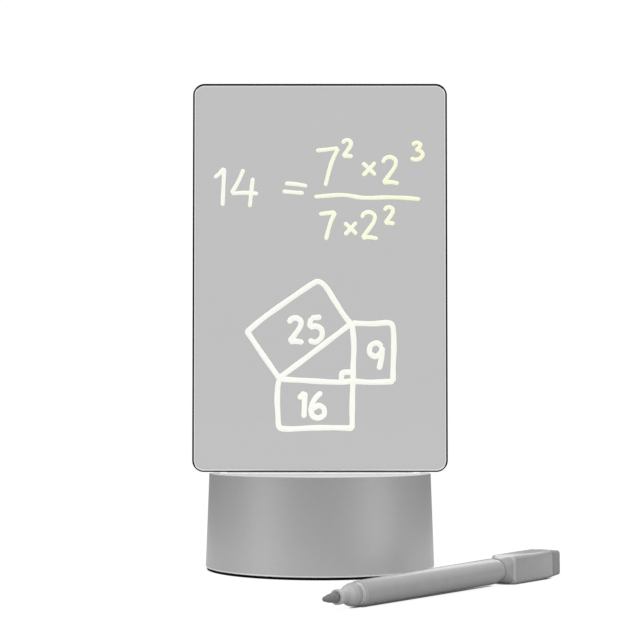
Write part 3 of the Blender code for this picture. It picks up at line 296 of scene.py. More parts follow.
ERASER_START = 136.6 * MM
ERASER_END = 142.7 * MM
ERASER_FRONT = 5.3 * MM
ERASER_HALF = 4.9 * MM
ERASER_CORNER = 1.2 * MM
ERASER_ROOT = 3.6 * MM
ERASER_ROOT_END = 133.6 * MM

# Marker strokes, in millimetres on the writing face from the middle of its lower edge
INK_BULGE = 0.12 * MM
INK_LIFT = 0.02 * MM
INK_STEP = 0.4
FIGURE_WIDTH = 2.33
SUM_WIDTH = 1.72
WIDTH_SWING = 0.05
PHASE_STEP = 1.7
END_SHARE = 0.04
# Tone at the left and at the right edge of the panel, and glow
WARM_INK = ((0.875, 0.88, 0.845), (0.875, 0.875, 0.79), 0.215)
YELLOW_INK = ((0.87, 0.88, 0.82), (0.87, 0.885, 0.62), 0.235)
SQUARES = (
    ((-31.9, 59.9), (-24.1, 66.5), (-12.9, 74.5), (-3.8, 80.7), (-0.6, 82.0), (2.5, 79.7), (6.1, 74.1),
     (10.0, 68.0), (13.7, 63.2)),
    ((-31.8, 61.0), (-24.9, 50.8), (-17.4, 40.1)),
    ((-18.1, 40.1), (-8.6, 47.1), (2.2, 55.3), (14.0, 64.3)),
    ((13.8, 64.3), (14.6, 54.6), (14.3, 46.0), (14.2, 38.7), (13.9, 30.9), (13.8, 18.2)),
    ((-18.0, 40.0), (-6.1, 39.3), (7.3, 38.6), (14.2, 39.0), (21.6, 38.6), (31.9, 38.9)),
    ((13.6, 64.1), (22.4, 63.8), (29.3, 64.2), (31.2, 63.0), (31.7, 59.4), (31.8, 52.5), (31.5, 45.6),
     (31.4, 38.6)),
    ((-17.3, 40.8), (-18.1, 37.0), (-18.4, 30.9), (-18.1, 24.9), (-17.8, 20.2), (-16.5, 18.7),
     (-12.0, 18.5), (-7.7, 18.7), (-1.7, 19.0), (6.5, 19.0), (14.4, 18.8)),
    ((9.3, 39.1), (9.3, 41.7), (10.2, 42.8), (14.2, 42.9)),
)
SUM_LINES = (
    ((-15.2, 124.6), (-10.3, 124.2), (-5.5, 123.4)),
    ((-16.2, 121.1), (-11.6, 120.7), (-7.0, 120.35)),
    ((-2.5, 118.7), (4.4, 119.3), (10.6, 119.5), (19.0, 118.3), (29.2, 118.5), (36.3, 118.3), (43.3, 117.7)),
)
# Each figure with the place of its lower left corner and its height
SQUARE_FIGURES = (("2", -13.7, 55.5, 10.8), ("5", -5.4, 55.9, 10.8), ("9", 20.7, 43.9, 11.6),
                  ("1", -9.4, 23.2, 11.2), ("6", -4.4, 23.2, 11.2))
SUM_FIGURES = (("1", -45.7, 114.7, 16.5), ("4", -38.6, 114.2, 16.5), ("7", -1.7, 123.4, 16.5),
               ("2", 9.6, 136.0, 7.4), ("x", 18.2, 127.8, 6.0), ("2", 26.8, 124.3, 11.7),
               ("3", 39.0, 134.9, 7.4), ("7", -0.4, 100.0, 12.1), ("x", 10.4, 102.2, 5.6),
               ("2", 17.7, 100.4, 11.7), ("2", 27.7, 106.9, 7.4))
# Strokes of each figure as shares of its height
FIGURE_SHARES = {
    "1": (((0.0, 0.74), (0.14, 0.86), (0.26, 1.0)), ((0.26, 1.0), (0.24, 0.5), (0.22, 0.0))),
    "2": (((0.02, 0.78), (0.12, 0.95), (0.32, 1.0), (0.5, 0.88), (0.48, 0.66), (0.3, 0.38), (0.04, 0.04)),
          ((0.04, 0.04), (0.3, 0.07), (0.62, 0.02))),
    "3": (((0.1, 0.85), (0.35, 1.0), (0.6, 0.9), (0.5, 0.68), (0.3, 0.58)),
          ((0.3, 0.58), (0.6, 0.5), (0.74, 0.28), (0.55, 0.05), (0.25, 0.0), (0.02, 0.1))),
    "4": (((0.34, 1.0), (0.2, 0.68), (0.02, 0.36)), ((0.02, 0.36), (0.35, 0.38), (0.72, 0.36)),
          ((0.58, 0.78), (0.54, 0.4), (0.5, 0.0))),
    "5": (((0.14, 0.97), (0.1, 0.75), (0.08, 0.56)), ((0.12, 0.97), (0.35, 0.98), (0.56, 1.0)),
          ((0.08, 0.56), (0.32, 0.64), (0.56, 0.5), (0.56, 0.2), (0.32, 0.0), (0.04, 0.08))),
    "6": (((0.46, 1.0), (0.2, 0.74), (0.06, 0.4), (0.1, 0.1), (0.32, 0.0), (0.54, 0.12), (0.54, 0.36),
           (0.34, 0.48), (0.1, 0.34)),),
    "7": (((0.0, 0.93), (0.28, 0.96), (0.58, 1.0)), ((0.58, 1.0), (0.4, 0.6), (0.24, 0.0))),
    "9": (((0.52, 0.84), (0.34, 1.0), (0.1, 0.9), (0.06, 0.64), (0.26, 0.5), (0.46, 0.62), (0.54, 0.86)),
          ((0.54, 0.86), (0.5, 0.45), (0.4, 0.0))),
    "x": (((0.02, 0.96), (0.5, 0.52), (0.98, 0.04)), ((0.96, 1.0), (0.52, 0.5), (0.04, 0.0))),
}


def even(level):
    """An even grey."""
    return (level, level, level)


def shader_tree(name):
    """A new material with its tree, its Principled shader and its Object coordinates."""
    material = bpy.data.materials.new(name)
    material.use_nodes = True
    tree = material.node_tree
    place = tree.nodes.new("ShaderNodeTexCoord").outputs["Object"]
    return material, tree, tree.nodes["Principled BSDF"], place


def noise(tree, place, size, detail=CLOUD_DETAIL):
    """Cloudy values round 0.5 with features of a real size."""
    texture = tree.nodes.new("ShaderNodeTexNoise")
    texture.inputs["Scale"].default_value = 1 / size
    texture.inputs["Detail"].default_value = detail
    tree.links.new(place, texture.inputs["Vector"])
    return texture.outputs["Fac"]


def ranged(tree, value, low, high, source=CLOUD_RANGE):
    """Maps a value from a source range to low and high."""
    mapping = tree.nodes.new("ShaderNodeMapRange")
    mapping.inputs["From Min"].default_value = source[0]
    mapping.inputs["From Max"].default_value = source[1]
    mapping.inputs["To Min"].default_value = low
    mapping.inputs["To Max"].default_value = high
    tree.links.new(value, mapping.inputs["Value"])
    return mapping.outputs["Result"]


def blended(tree, share, first, second):
    """Mixes two colours by a share."""
    mix = tree.nodes.new("ShaderNodeMix")
    mix.data_type = 'RGBA'
    mix.inputs["A"].default_value = (*first, 1)
    mix.inputs["B"].default_value = (*second, 1)
    tree.links.new(share, mix.inputs["Factor"])
    return mix.outputs["Result"]


def scaled(color, factor):
    """A colour made lighter or darker."""
    return tuple(min(1, channel * factor) for channel in color)


def patchy(tree, clouds, color, dark, light):
    """A colour that swings between a darker and a lighter shade of itself."""
    return blended(tree, ranged(tree, clouds, 0, 1), scaled(color, dark), scaled(color, light))


def coordinate(tree, place, axis):
    """One coordinate of a place."""
    split = tree.nodes.new("ShaderNodeSeparateXYZ")
    tree.links.new(place, split.inputs["Vector"])
    return split.outputs[axis]


def vector_node(tree, operation, value):
    """A node that works on a vector."""
    node = tree.nodes.new("ShaderNodeVectorMath")
    node.operation = operation
    tree.links.new(value, node.inputs[0])
    return node


def bumped(tree, shader, value, depth):
    """Raises the surface by a value, by a real depth."""
    bump = tree.nodes.new("ShaderNodeBump")
    bump.inputs["Strength"].default_value = 1
    bump.inputs["Distance"].default_value = depth
    tree.links.new(value, bump.inputs["Height"])
    tree.links.new(bump.outputs["Normal"], shader.inputs["Normal"])


def glowing(tree, shader, tone, glow):
    """Gives a shader a tone, in which it also shines."""
    tree.links.new(tone, shader.inputs["Base Color"])
    tree.links.new(tone, shader.inputs["Emission Color"])
    shader.inputs["Emission Strength"].default_value = glow


def seen_apart(tree, lighting, seen, surface_input):
    """Lights the object with one look, and shows the camera another."""
    path = tree.nodes.new("ShaderNodeLightPath")
    mix = tree.nodes.new("ShaderNodeMixShader")
    tree.links.new(path.outputs["Is Camera Ray"], mix.inputs["Fac"])
    tree.links.new(lighting, mix.inputs[1])
    tree.links.new(seen, mix.inputs[2])
    tree.links.new(mix.outputs["Shader"], surface_input)


def surface(name, color, roughness, metallic=0.0, spread=TONE_SPREAD, patch=TONE_PATCH, grain=GRAIN,
            depth=RELIEF):
    """A moulded or painted surface: soft patches of tone, uneven gloss and a fine raised grain."""
    material, tree, shader, place = shader_tree(name)
    tone = patchy(tree, noise(tree, place, patch), color, 1 - spread, 1 + spread)
    tree.links.new(tone, shader.inputs["Base Color"])
    fine = noise(tree, place, grain, FINE_DETAIL)
    gloss = ranged(tree, fine, roughness - GLOSS_SWING, roughness + GLOSS_SWING)
    tree.links.new(gloss, shader.inputs["Roughness"])
    shader.inputs["Metallic"].default_value = metallic
    bumped(tree, shader, fine, depth)
    return material


def satin_wall(name, color):
    """Satin metallic paint with a faint mottle, and painted light: darker towards the top and lighter towards
    the foot, standing for the floor's light on the wall.
    """
    material, tree, shader, place = shader_tree(name)
    # Painted light: the grey darkens towards the top and lightens towards the foot
    height = ranged(tree, coordinate(tree, place, "Z"), 0, 1, (FOOT_Z, TOP_Z))
    painted_light_grade = blended(tree, height, scaled(color, WALL_FOOT_PAINTED_LIGHT), scaled(color, WALL_TOP_PAINTED_SHADE))
    mottled = vector_node(tree, 'SCALE', painted_light_grade)
    mottle = ranged(tree, noise(tree, place, WALL_MOTTLE), *WALL_MOTTLE_SHADE)
    tree.links.new(mottle, mottled.inputs["Scale"])
    tree.links.new(mottled.outputs["Vector"], shader.inputs["Base Color"])
    fine = noise(tree, place, WALL_GRAIN, FINE_DETAIL)
    tree.links.new(ranged(tree, fine, *WALL_GLOSS), shader.inputs["Roughness"])
    shader.inputs["Metallic"].default_value = WALL_METAL
    bumped(tree, shader, fine, WALL_RELIEF)
    return material


def clear_sheet(name, color, alpha, roughness=SHEET_ROUGHNESS, index=SHEET_INDEX):
    """Clear sheet: a thin tint, with a faint haze where it has been wiped."""
    material, tree, shader, place = shader_tree(name)
    haze = noise(tree, place, HAZE_PATCH, HAZE_DETAIL)
    tone = patchy(tree, haze, color, 1 - HAZE_SPREAD, 1 + HAZE_SPREAD)
    tree.links.new(tone, shader.inputs["Base Color"])
    tree.links.new(ranged(tree, haze, roughness, roughness + GLOSS_SWING), shader.inputs["Roughness"])
    shader.inputs["Alpha"].default_value = alpha
    shader.inputs["IOR"].default_value = index
    return material


def ink(name, left, right, glow):
    """Marker ink lit from below: its tone changes across the panel, and it has fine streaks."""
    material, tree, shader, place = shader_tree(name)
    across = ranged(tree, coordinate(tree, place, "X"), 0, 1, (-PANEL_WIDTH / 2, PANEL_WIDTH / 2))
    glowing(tree, shader, blended(tree, across, left, right), glow)
    streaks = noise(tree, place, INK_STREAK, FINE_DETAIL)
    tree.links.new(ranged(tree, streaks, *INK_GLOSS), shader.inputs["Roughness"])
    bumped(tree, shader, streaks, INK_RELIEF)
    return material


def lamp(name, color, glow):
    """A lens, phosphor or milky plastic that shines by itself."""
    material, tree, shader, place = shader_tree(name)
    glowing(tree, shader, patchy(tree, noise(tree, place, LAMP_SPECKLE), color, LAMP_SHADE, 1), glow)
    shader.inputs["Roughness"].default_value = LAMP_ROUGHNESS
    return material


def spun(profile, steps, place=Matrix()):
    """Spins (radius, height) points round Z; a profile off the axis is closed into a ring."""
    shape = bmesh.new()
    points = [shape.verts.new((radius, 0, height)) for radius, height in profile]
    edges = [shape.edges.new(pair) for pair in zip(points, points[1:])]
    if profile[0][0] > 0:
        edges.append(shape.edges.new((points[-1], points[0])))
    bmesh.ops.spin(shape, geom=points + edges, cent=(0, 0, 0), axis=(0, 0, 1),
                   angle=math.tau, steps=steps, use_merge=True)
    bmesh.ops.remove_doubles(shape, verts=shape.verts, dist=WELD)
    bmesh.ops.transform(shape, matrix=place, verts=shape.verts)
    return shape


def filleted(corners):
    """Profile points, with each corner given as (radius, height, fillet) rounded by its fillet."""
    points = []
    for index, (radius, height, fillet) in enumerate(corners):
        here = Vector((radius, height))
        if not fillet:
            points.append(tuple(here))
            continue
        before = (Vector(corners[index - 1][:2]) - here).normalized()
        after = (Vector(corners[(index + 1) % len(corners)][:2]) - here).normalized()
        half = before.angle(after) / 2
        centre = here + (before + after).normalized() * fillet / math.sin(half)
        start = (here + before * fillet / math.tan(half) - centre).normalized()
        end = (here + after * fillet / math.tan(half) - centre).normalized()
        points += [tuple(centre + start.slerp(end, step / FILLET_STEPS) * fillet)
                   for step in range(FILLET_STEPS + 1)]
    return points


def drawn_out(shape, faces, distance):
    """Extrudes faces along Z by a distance."""
    extruded = bmesh.ops.extrude_face_region(shape, geom=faces)["geom"]
    far = [item for item in extruded if isinstance(item, bmesh.types.BMVert)]
    bmesh.ops.translate(shape, vec=(0, 0, distance), verts=far)


def pulled(shape, low, high):
    """Extrudes a flat shape from low to high."""
    bmesh.ops.translate(shape, vec=(0, 0, low), verts=shape.verts)
    drawn_out(shape, shape.faces[:], high - low)
    bmesh.ops.recalc_face_normals(shape, faces=shape.faces)


def rod(radius, low, high, place=Matrix()):
    """A plain round rod along Z."""
    shape = bmesh.new()
    bmesh.ops.create_circle(shape, cap_ends=True, radius=radius, segments=HOLE_STEPS)
    pulled(shape, low, high)
    turn = place @ Matrix.Rotation(math.pi / HOLE_STEPS, 4, 'Z')
    bmesh.ops.transform(shape, matrix=turn, verts=shape.verts)
    return shape


def slab(width, depth, corner, low, high, place=Matrix(), steps=CORNER_STEPS):
    """A plate between two heights, with round corners."""
    shape = bmesh.new()
    square = bmesh.ops.create_grid(shape, x_segments=1, y_segments=1, size=0.5)["verts"]
    bmesh.ops.scale(shape, vec=(width, depth, 1), verts=square)
    if corner:
        bmesh.ops.bevel(shape, geom=square, offset=corner, offset_type='OFFSET', affect='VERTICES',
                        segments=steps, profile=0.5, material=-1)
    pulled(shape, low, high)
    bmesh.ops.transform(shape, matrix=place, verts=shape.verts)
    return shape


def block(low, high):
    """A plain block between two corners."""
    middle = Matrix.Translation(((low[0] + high[0]) / 2, (low[1] + high[1]) / 2, 0))
    return slab(high[0] - low[0], high[1] - low[1], 0, low[2], high[2], middle)


def soften(shape, edges, width, steps):
    """Chamfers edges, or rounds them."""
    bmesh.ops.bevel(shape, geom=edges, offset=width, offset_type='OFFSET', affect='EDGES',
                    segments=steps, profile=0.5, material=-1)


def inset(shape, faces, width):
    """Sets a frame of faces inside the outline of flat faces, and returns the frame."""
    return bmesh.ops.inset_region(shape, faces=faces, thickness=width, depth=0,
                                  use_boundary=True, use_even_offset=True)["faces"]


def edges_at(shape, height):
    """The edges that lie at a height."""
    return [edge for edge in shape.edges if all(abs(end.co.z - height) < WELD for end in edge.verts)]


def squared(stations, place):
    """A closed solid through rounded squares, given as (height, half width, corner)."""
    shape = bmesh.new()
    rings = []
    for index, (height, half, corner) in enumerate(stations):
        closing = index in (0, len(stations) - 1)
        ring = bmesh.ops.create_circle(shape, cap_ends=closing, radius=1, segments=SQUARE_STEPS)["verts"]
        for point in ring:
            angle = math.atan2(point.co.y, point.co.x) + math.pi / SQUARE_STEPS
            straight = half - corner
            point.co = (math.copysign(straight, math.cos(angle)) + corner * math.cos(angle),
                        math.copysign(straight, math.sin(angle)) + corner * math.sin(angle), height)
        rings.append(list({edge for point in ring for edge in point.link_edges}))
    for ring, following in zip(rings, rings[1:]):
        bmesh.ops.bridge_loops(shape, edges=ring + following)
    bmesh.ops.transform(shape, matrix=place, verts=shape.verts)
    return shape


def mesh_of(name, shape):
    """Turns a shape into a mesh."""
    mesh = bpy.data.meshes.new(name)
    shape.to_mesh(mesh)
    shape.free()
    return mesh


def placed(name, data):
    """Puts a mesh, a curve or a camera into the scene."""
    item = bpy.data.objects.new(name, data)
    bpy.context.scene.collection.objects.link(item)
    return item


def merged(shapes):
    """Puts shapes that don't touch each other into one."""
    whole = bmesh.new()
    for shape in shapes:
        mesh = mesh_of("workpiece", shape)
        whole.from_mesh(mesh)
        bpy.data.meshes.remove(mesh)
    return whole


def combined(shape, operation, tools):
    """Joins tools to a shape, or cuts them out of it."""
    items = []
    for part in (shape, merged(tools)):
        bmesh.ops.recalc_face_normals(part, faces=part.faces)
        items.append(placed("workpiece", mesh_of("workpiece", part)))
    modifier = items[0].modifiers.new("tool", 'BOOLEAN')
    modifier.operation = operation
    modifier.solver = 'EXACT'
    modifier.object = items[1]
    result = bmesh.new()
    result.from_object(items[0], bpy.context.evaluated_depsgraph_get())
    for item in items:
        mesh = item.data
        bpy.data.objects.remove(item)
        bpy.data.meshes.remove(mesh)
    return result


def piece(name, shape, materials, body, slot, *replaced):
    """Makes one named piece of the object, which rides on a body and stands for CAD nodes."""
    bmesh.ops.remove_doubles(shape, verts=shape.verts, dist=WELD)
    bmesh.ops.recalc_face_normals(shape, faces=shape.faces)
    mesh = mesh_of(name, shape)
    for material in materials:
        mesh.materials.append(material)
    mesh.shade_smooth()
    mesh.set_sharp_from_angle(angle=SHARP_ANGLE)
    item = placed(name, mesh)
    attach(item, body)
    if replaced:
        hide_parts(*replaced)


def repaint(material, *names):
    """Gives CAD nodes that stay in view a better material."""
    for name in names:
        nodes[name].data.materials.clear()
        nodes[name].data.materials.append(material)


def numbered(name, count):
    """The names of a row of like nodes."""
    return [f"{name}_{number}" for number in range(1, count + 1)]


def back_place(node, depth):
    """A place in the middle plane at a node's height, whose Z axis points to the back."""
    low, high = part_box(node)
    return Matrix.Translation((0, depth, (low.z + high.z) / 2)) @ Matrix.Rotation(-math.pi / 2, 4, 'X')


def camera():
    """The photo's view: a long lens in front of the object, a little above the base."""
    data = bpy.data.cameras.new("camera")
    data.sensor_width = SENSOR_WIDTH
    data.lens = SENSOR_WIDTH * FOCAL_PIXELS / PICTURE
    data.shift_y = (AXIS_PIXEL_Y - PICTURE / 2) / PICTURE
    item = placed("camera", data)
    item.location = CAMERA_PLACE
    item.rotation_euler = (math.pi / 2 + CAMERA_TILT, 0, 0)
    bpy.context.scene.camera = item


def floor_finish():
    """Pale grey that darkens far off; the camera sees near white, with a dark line of contact."""
    material, tree, shader, place = shader_tree("pale_floor")
    reach = vector_node(tree, 'LENGTH', place).outputs["Value"]
    tone = blended(tree, ranged(tree, reach, 0, 1, FLOOR_FADE), even(FLOOR_NEAR), even(FLOOR_FAR))
    tree.links.new(tone, shader.inputs["Base Color"])
    shader.inputs["Roughness"].default_value = FLOOR_ROUGHNESS
    shader.inputs["Specular IOR Level"].default_value = 0
    contact = tree.nodes.new("ShaderNodeAmbientOcclusion")
    contact.inputs["Distance"].default_value = CONTACT_REACH
    glow = tree.nodes.new("ShaderNodeEmission")
    tree.links.new(ranged(tree, contact.outputs["AO"], CONTACT_SHADE * FLOOR_GLOW, FLOOR_GLOW, CONTACT_RANGE),
                   glow.inputs["Strength"])
    shade = tree.nodes.new("ShaderNodeBsdfDiffuse")
    shade.inputs["Color"].default_value = (*even(FLOOR_SHADE), 1)
    white = tree.nodes.new("ShaderNodeAddShader")
    tree.links.new(glow.outputs["Emission"], white.inputs[0])
    tree.links.new(shade.outputs["BSDF"], white.inputs[1])
    seen_apart(tree, shader.outputs["BSDF"], white.outputs["Shader"],
               tree.nodes["Material Output"].inputs["Surface"])
    return material


def floor():
    """A large floor under the object."""
    shape = bmesh.new()
    bmesh.ops.create_circle(shape, cap_ends=True, radius=FLOOR_RADIUS, segments=FLOOR_STEPS)
    mesh = mesh_of("floor", shape)
    mesh.materials.append(floor_finish())
    item = placed("floor", mesh)


def studio():
    """Surroundings that light the object from the sides, from above and from high at the back."""
    scene = bpy.context.scene
    scene.view_settings.view_transform = 'Standard'
    world = bpy.data.worlds.new("studio")
    scene.world = world
    world.use_nodes = True
    tree = world.node_tree
    tree.nodes.clear()
    place = tree.nodes.new("ShaderNodeTexCoord").outputs["Generated"]
    ramp = tree.nodes.new("ShaderNodeValToRGB")
    ramp.color_ramp.interpolation = 'EASE'
    for position, _ in HORIZON_LEVELS[1:-1]:
        ramp.color_ramp.elements.new(position)
    for element, (position, level) in zip(ramp.color_ramp.elements, HORIZON_LEVELS):
        element.position = position
        element.color = (*even(level), 1)
    tree.links.new(ranged(tree, coordinate(tree, place, "Y"), 0, 1, (-1, 1)), ramp.inputs["Fac"])
    height = ranged(tree, coordinate(tree, place, "Z"), 0, 1, TOP_RANGE)
    around = blended(tree, height, even(0), even(TOP_LEVEL))
    tree.links.new(ramp.outputs["Color"], around.node.inputs["A"])
    light = tree.nodes.new("ShaderNodeBackground")
    tree.links.new(around, light.inputs["Color"])
    toward = vector_node(tree, 'DOT_PRODUCT', place)
    toward.inputs[1].default_value = BACK_LIGHT_DIRECTION
    strength = ranged(tree, toward.outputs["Value"], STUDIO_STRENGTH, BACK_LIGHT_STRENGTH, BACK_LIGHT_EDGE)
    tree.links.new(strength, light.inputs["Strength"])
    seen = tree.nodes.new("ShaderNodeBackground")
    seen.inputs["Color"].default_value = (*even(1), 1)
    seen.inputs["Strength"].default_value = SEEN_WHITE
    output = tree.nodes.new("ShaderNodeOutputWorld")
    seen_apart(tree, light.outputs["Background"], seen.outputs["Background"], output.inputs["Surface"])


def foot_pad():
    """Thin foam disc with rounded edges."""
    low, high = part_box("foot_pad")
    profile = filleted([(0, low.z, 0), (high.x, low.z, PAD_EDGE), (high.x, high.z, PAD_EDGE), (0, high.z, 0)])
    foam = surface("black_foam", even(0.006), 0.85, spread=0.2, grain=0.5 * MM, depth=0.04 * MM)
    foam.node_tree.nodes["Principled BSDF"].inputs["Specular IOR Level"].default_value = FOAM_SHINE
    piece("foam_foot", spun(profile, BASE_STEPS), [foam], "base", "foot_foam", "foot_pad")


def shell_hull():
    """The tapered wall with its roof, as one round solid."""
    return spun(filleted([(0, TOP_Z, 0), (TOP_RADIUS, TOP_Z, TOP_FILLET),
                          (FOOT_RADIUS - WALL_SLOPE * FOOT_LINE_TOP, FOOT_Z + FOOT_LINE_TOP, 0),
                          (FOOT_RADIUS - WALL_SLOPE * FOOT_CHAMFER, FOOT_Z + FOOT_CHAMFER, 0),
                          (FOOT_RADIUS - FOOT_CHAMFER, FOOT_Z, 0),
                          (FOOT_RADIUS - SHELL_WALL, FOOT_Z, 0),
                          (ROOF_RADIUS - SHELL_WALL, ROOF_Z, 0),
                          (0, ROOF_Z, 0)]), BASE_STEPS)


def shell_supports():
    """What is joined to the hull, group by group: screw bosses, their ribs, then tray bosses and rails."""
    bosses = [rod(BOSS_RADIUS, BOSS_FOOT, EMBED_Z, place) for place in BOSS_PLACES]
    ribs = []
    for turn in BOSS_TURNS:
        rib = block((RIB_ROOT, -RIB_THICKNESS / 2, BOSS_FOOT),
                    (RIB_END, RIB_THICKNESS / 2, EMBED_Z - FIT))
        bmesh.ops.transform(rib, matrix=turn, verts=rib.verts)
        ribs.append(rib)
    inside = [rod(TRAY_BOSS_RADIUS, TRAY_BOSS_FOOT, EMBED_Z, place) for place in TRAY_BOSS_PLACES]
    board_low, board_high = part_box("control_board")
    inner = board_high.x - RAIL_OVERLAP
    outer = board_high.x + RAIL_REACH
    rear_end = math.sqrt(ROOF_RADIUS ** 2 - outer ** 2) - RAIL_SINK
    front_rail = (board_low.y - FIT - RAIL_THICKNESS, board_low.y - FIT)
    for near, far in (front_rail, (board_high.y + FIT, rear_end)):
        inside.append(block((inner, near, RAIL_FOOT), (outer, far, EMBED_Z)))
        inside.append(block((-outer, near, RAIL_FOOT), (-inner, far, EMBED_Z)))
    return bosses, ribs, inside


def shell_cuts():
    """What is cut out of the shell, group by group: slot, its recess, screw pilots and back openings."""
    above = TOP_Z + CUT_MARGIN
    slot = slab(SLOT_LENGTH, SLOT_BREADTH, SLOT_CORNER, ROOF_Z - CUT_MARGIN, above)
    recess = slab(RECESS_LENGTH, RECESS_BREADTH, RECESS_CORNER, RECESS_Z, above)
    pilots = [rod(BOSS_BORE, BOSS_FOOT - CUT_MARGIN, BOSS_BORE_END, place) for place in BOSS_PLACES]
    pilots += [rod(TRAY_BOSS_BORE, TRAY_BOSS_FOOT - CUT_MARGIN, TRAY_BORE_END, place)
               for place in TRAY_BOSS_PLACES]
    low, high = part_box("usb_socket")
    usb = slab(high.x * 2 + FIT * 2, high.z - low.z + FIT * 2, USB_CORNER + FIT, 0, OPENING_LENGTH,
               back_place("usb_socket", OPENING_START))
    light = rod(LIGHT_RADIUS + FIT, 0, OPENING_LENGTH, back_place("charge_indicator", OPENING_START))
    button = rod(BUTTON_RADIUS + FIT, 0, OPENING_LENGTH, back_place("power_button", OPENING_START))
    return [slot], [recess], pilots, [usb, light, button]


def base_shell():
    """Housing of the base: its wall, roof and foot edge each have a finish; the roof is painted lighter for
    light from above, and the foot edge carries a painted highlight.
    """
    shell = shell_hull()
    for supports in shell_supports():
        shell = combined(shell, 'UNION', supports)
    for cuts in shell_cuts():
        shell = combined(shell, 'DIFFERENCE', cuts)
    shell.normal_update()
    for face in shell.faces:
        centre = face.calc_center_median()
        outside = math.hypot(centre.x, centre.y) > TOP_RADIUS - SHELL_WALL
        on_roof = face.normal.z > LEVEL_FACING and centre.z > TOP_Z - WELD
        on_foot = centre.z < FOOT_Z + FOOT_LINE_TOP and outside
        face.material_index = PAINTED_LIGHT_ROOF if on_roof else FOOT_PAINTED_HIGHLIGHT if on_foot else WALL
    finishes = [satin_wall("satin_grey", even(0.47)),
                # Painted light: the roof is a lighter copy of the wall's grey, as if lit from above
                surface("satin_roof_painted_light", even(0.68), 0.4, 0.2, spread=0.012, patch=2 * MM),
                # Painted highlight: a light grey band along the foot edge, where the edge would catch light
                surface("foot_edge_painted_highlight", even(0.78), 0.3, 0.4, spread=0.01, depth=0.001 * MM)]
    piece("satin_shell", shell, finishes, "base", "shell_grey", "base_shell")


def slot_frame():
    """Pale sleeve with a softened flange round the slot, with a painted glow."""
    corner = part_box("slot_frame")[1]
    flange = slab(corner.x * 2, corner.y * 2, FLANGE_CORNER, FLANGE_FOOT, FLANGE_TOP)
    soften(flange, edges_at(flange, FLANGE_TOP), FLANGE_EDGE, 2)
    sleeve = slab(SLEEVE_LENGTH, SLEEVE_BREADTH, SLEEVE_CORNER, SLEEVE_FOOT, FLANGE_FOOT + FIT)
    shape = combined(flange, 'UNION', [sleeve])
    passage = slab(PASSAGE_LENGTH, PASSAGE_BREADTH, 0, SLEEVE_FOOT - CUT_MARGIN, FLANGE_TOP + CUT_MARGIN)
    shape = combined(shape, 'DIFFERENCE', [passage])
    # Painted glow: the collar shines to stand for LED light coming through the milky plastic
    milky = lamp("milky_plastic", (0.85, 0.85, 0.83), COLLAR_GLOW)
    piece("slot_collar", shape, [milky], "base", "milky_plastic", "slot_frame")


def rimmed_sheet():
    """The sheet with chamfered rims, the front rim painted dark, and fine lines of painted highlight and
    shade inside the front rim.
    """
    half = PANEL_THICKNESS / 2
    upright = Matrix.Translation((0, 0, PANEL_FOOT + PANEL_HEIGHT / 2)) @ Matrix.Rotation(math.pi / 2, 4, 'X')
    sheet = slab(PANEL_WIDTH, PANEL_HEIGHT, PANEL_CORNER, -half, half, upright, PANEL_CORNER_STEPS)
    rims = [edge for edge in sheet.edges if abs(edge.verts[0].co.y - edge.verts[1].co.y) < WELD]
    soften(sheet, rims, PANEL_CHAMFER, 1)
    sheet.normal_update()
    for face in sheet.faces:
        facing = abs(face.normal.y)
        rim = PAINTED_DARK_RIM if face.normal.y < 0 else REAR_RIM
        face.material_index = FACE if facing > FLAT_FACING else rim if facing > RIM_FACING else SIDE
    high = PANEL_FOOT + PANEL_HEIGHT - PANEL_CORNER / 2
    low = PANEL_FOOT + PANEL_CORNER / 2
    for width, top, sides, foot in RIM_LINES:
        flats = [face for face in sheet.faces if face.material_index == FACE and face.normal.y < 0]
        for face in inset(sheet, flats, width):
            height = face.calc_center_median().z
            face.material_index = top if height > high else foot if height < low else sides
    return sheet


def add_tongue(sheet):
    """Draws the middle of the sheet's underside out into the tongue, with chamfered lower corners."""
    for side in (-1, 1):
        ledge = [face for face in sheet.faces if face.normal.z < -LEVEL_FACING]
        parts = set(ledge)
        for face in ledge:
            parts.update(face.edges)
            parts.update(face.verts)
        bmesh.ops.bisect_plane(sheet, geom=list(parts), plane_co=(side * TONGUE_SPLIT, 0, 0),
                               plane_no=(1, 0, 0))
    sheet.normal_update()
    middle = [face for face in sheet.faces if face.normal.z < -LEVEL_FACING
              and abs(face.calc_center_median().x) < TONGUE_SPLIT / 2]
    inset(sheet, middle, TONGUE_INSET)
    drawn_out(sheet, middle, -TONGUE_LENGTH)
    bmesh.ops.delete(sheet, geom=middle, context='FACES')
    ends = [edge for edge in edges_at(sheet, PANEL_FOOT - TONGUE_LENGTH)
            if abs(edge.verts[0].co.x - edge.verts[1].co.x) < WELD]
    soften(sheet, ends, TONGUE_CHAMFER, 1)
    for face in sheet.faces:
        if min(point.co.z for point in face.verts) < PANEL_FOOT - TONGUE_INSET:
            face.material_index = TONGUE


def writing_panel():
    """Clear sheet whose chamfered front rim is painted dark, with fine lines of painted highlight and shade
    inside it, and its tongue.
    """
    sheet = rimmed_sheet()
    add_tongue(sheet)
    finishes = [clear_sheet("panel_face", even(0.05), 0.3),
                # Painted highlight, painted shade and a painted dark rim for the polished edge
                clear_sheet("panel_painted_highlight_line", (0.2, 0.2, 0.195), 0.17),
                clear_sheet("panel_painted_shade_line", (0.05, 0.05, 0.048), 0.34),
                clear_sheet("panel_painted_dark_rim", even(0.003), 1.0, 0.4, 1.05),
                clear_sheet("panel_rear_rim", even(0.05), 0.2),
                clear_sheet("panel_side", even(0.16), 0.35),
                clear_sheet("panel_tongue", even(0.3), 0.3)]
    piece("memo_panel", sheet, finishes, "panel", "clear_acrylic", "acrylic_panel")


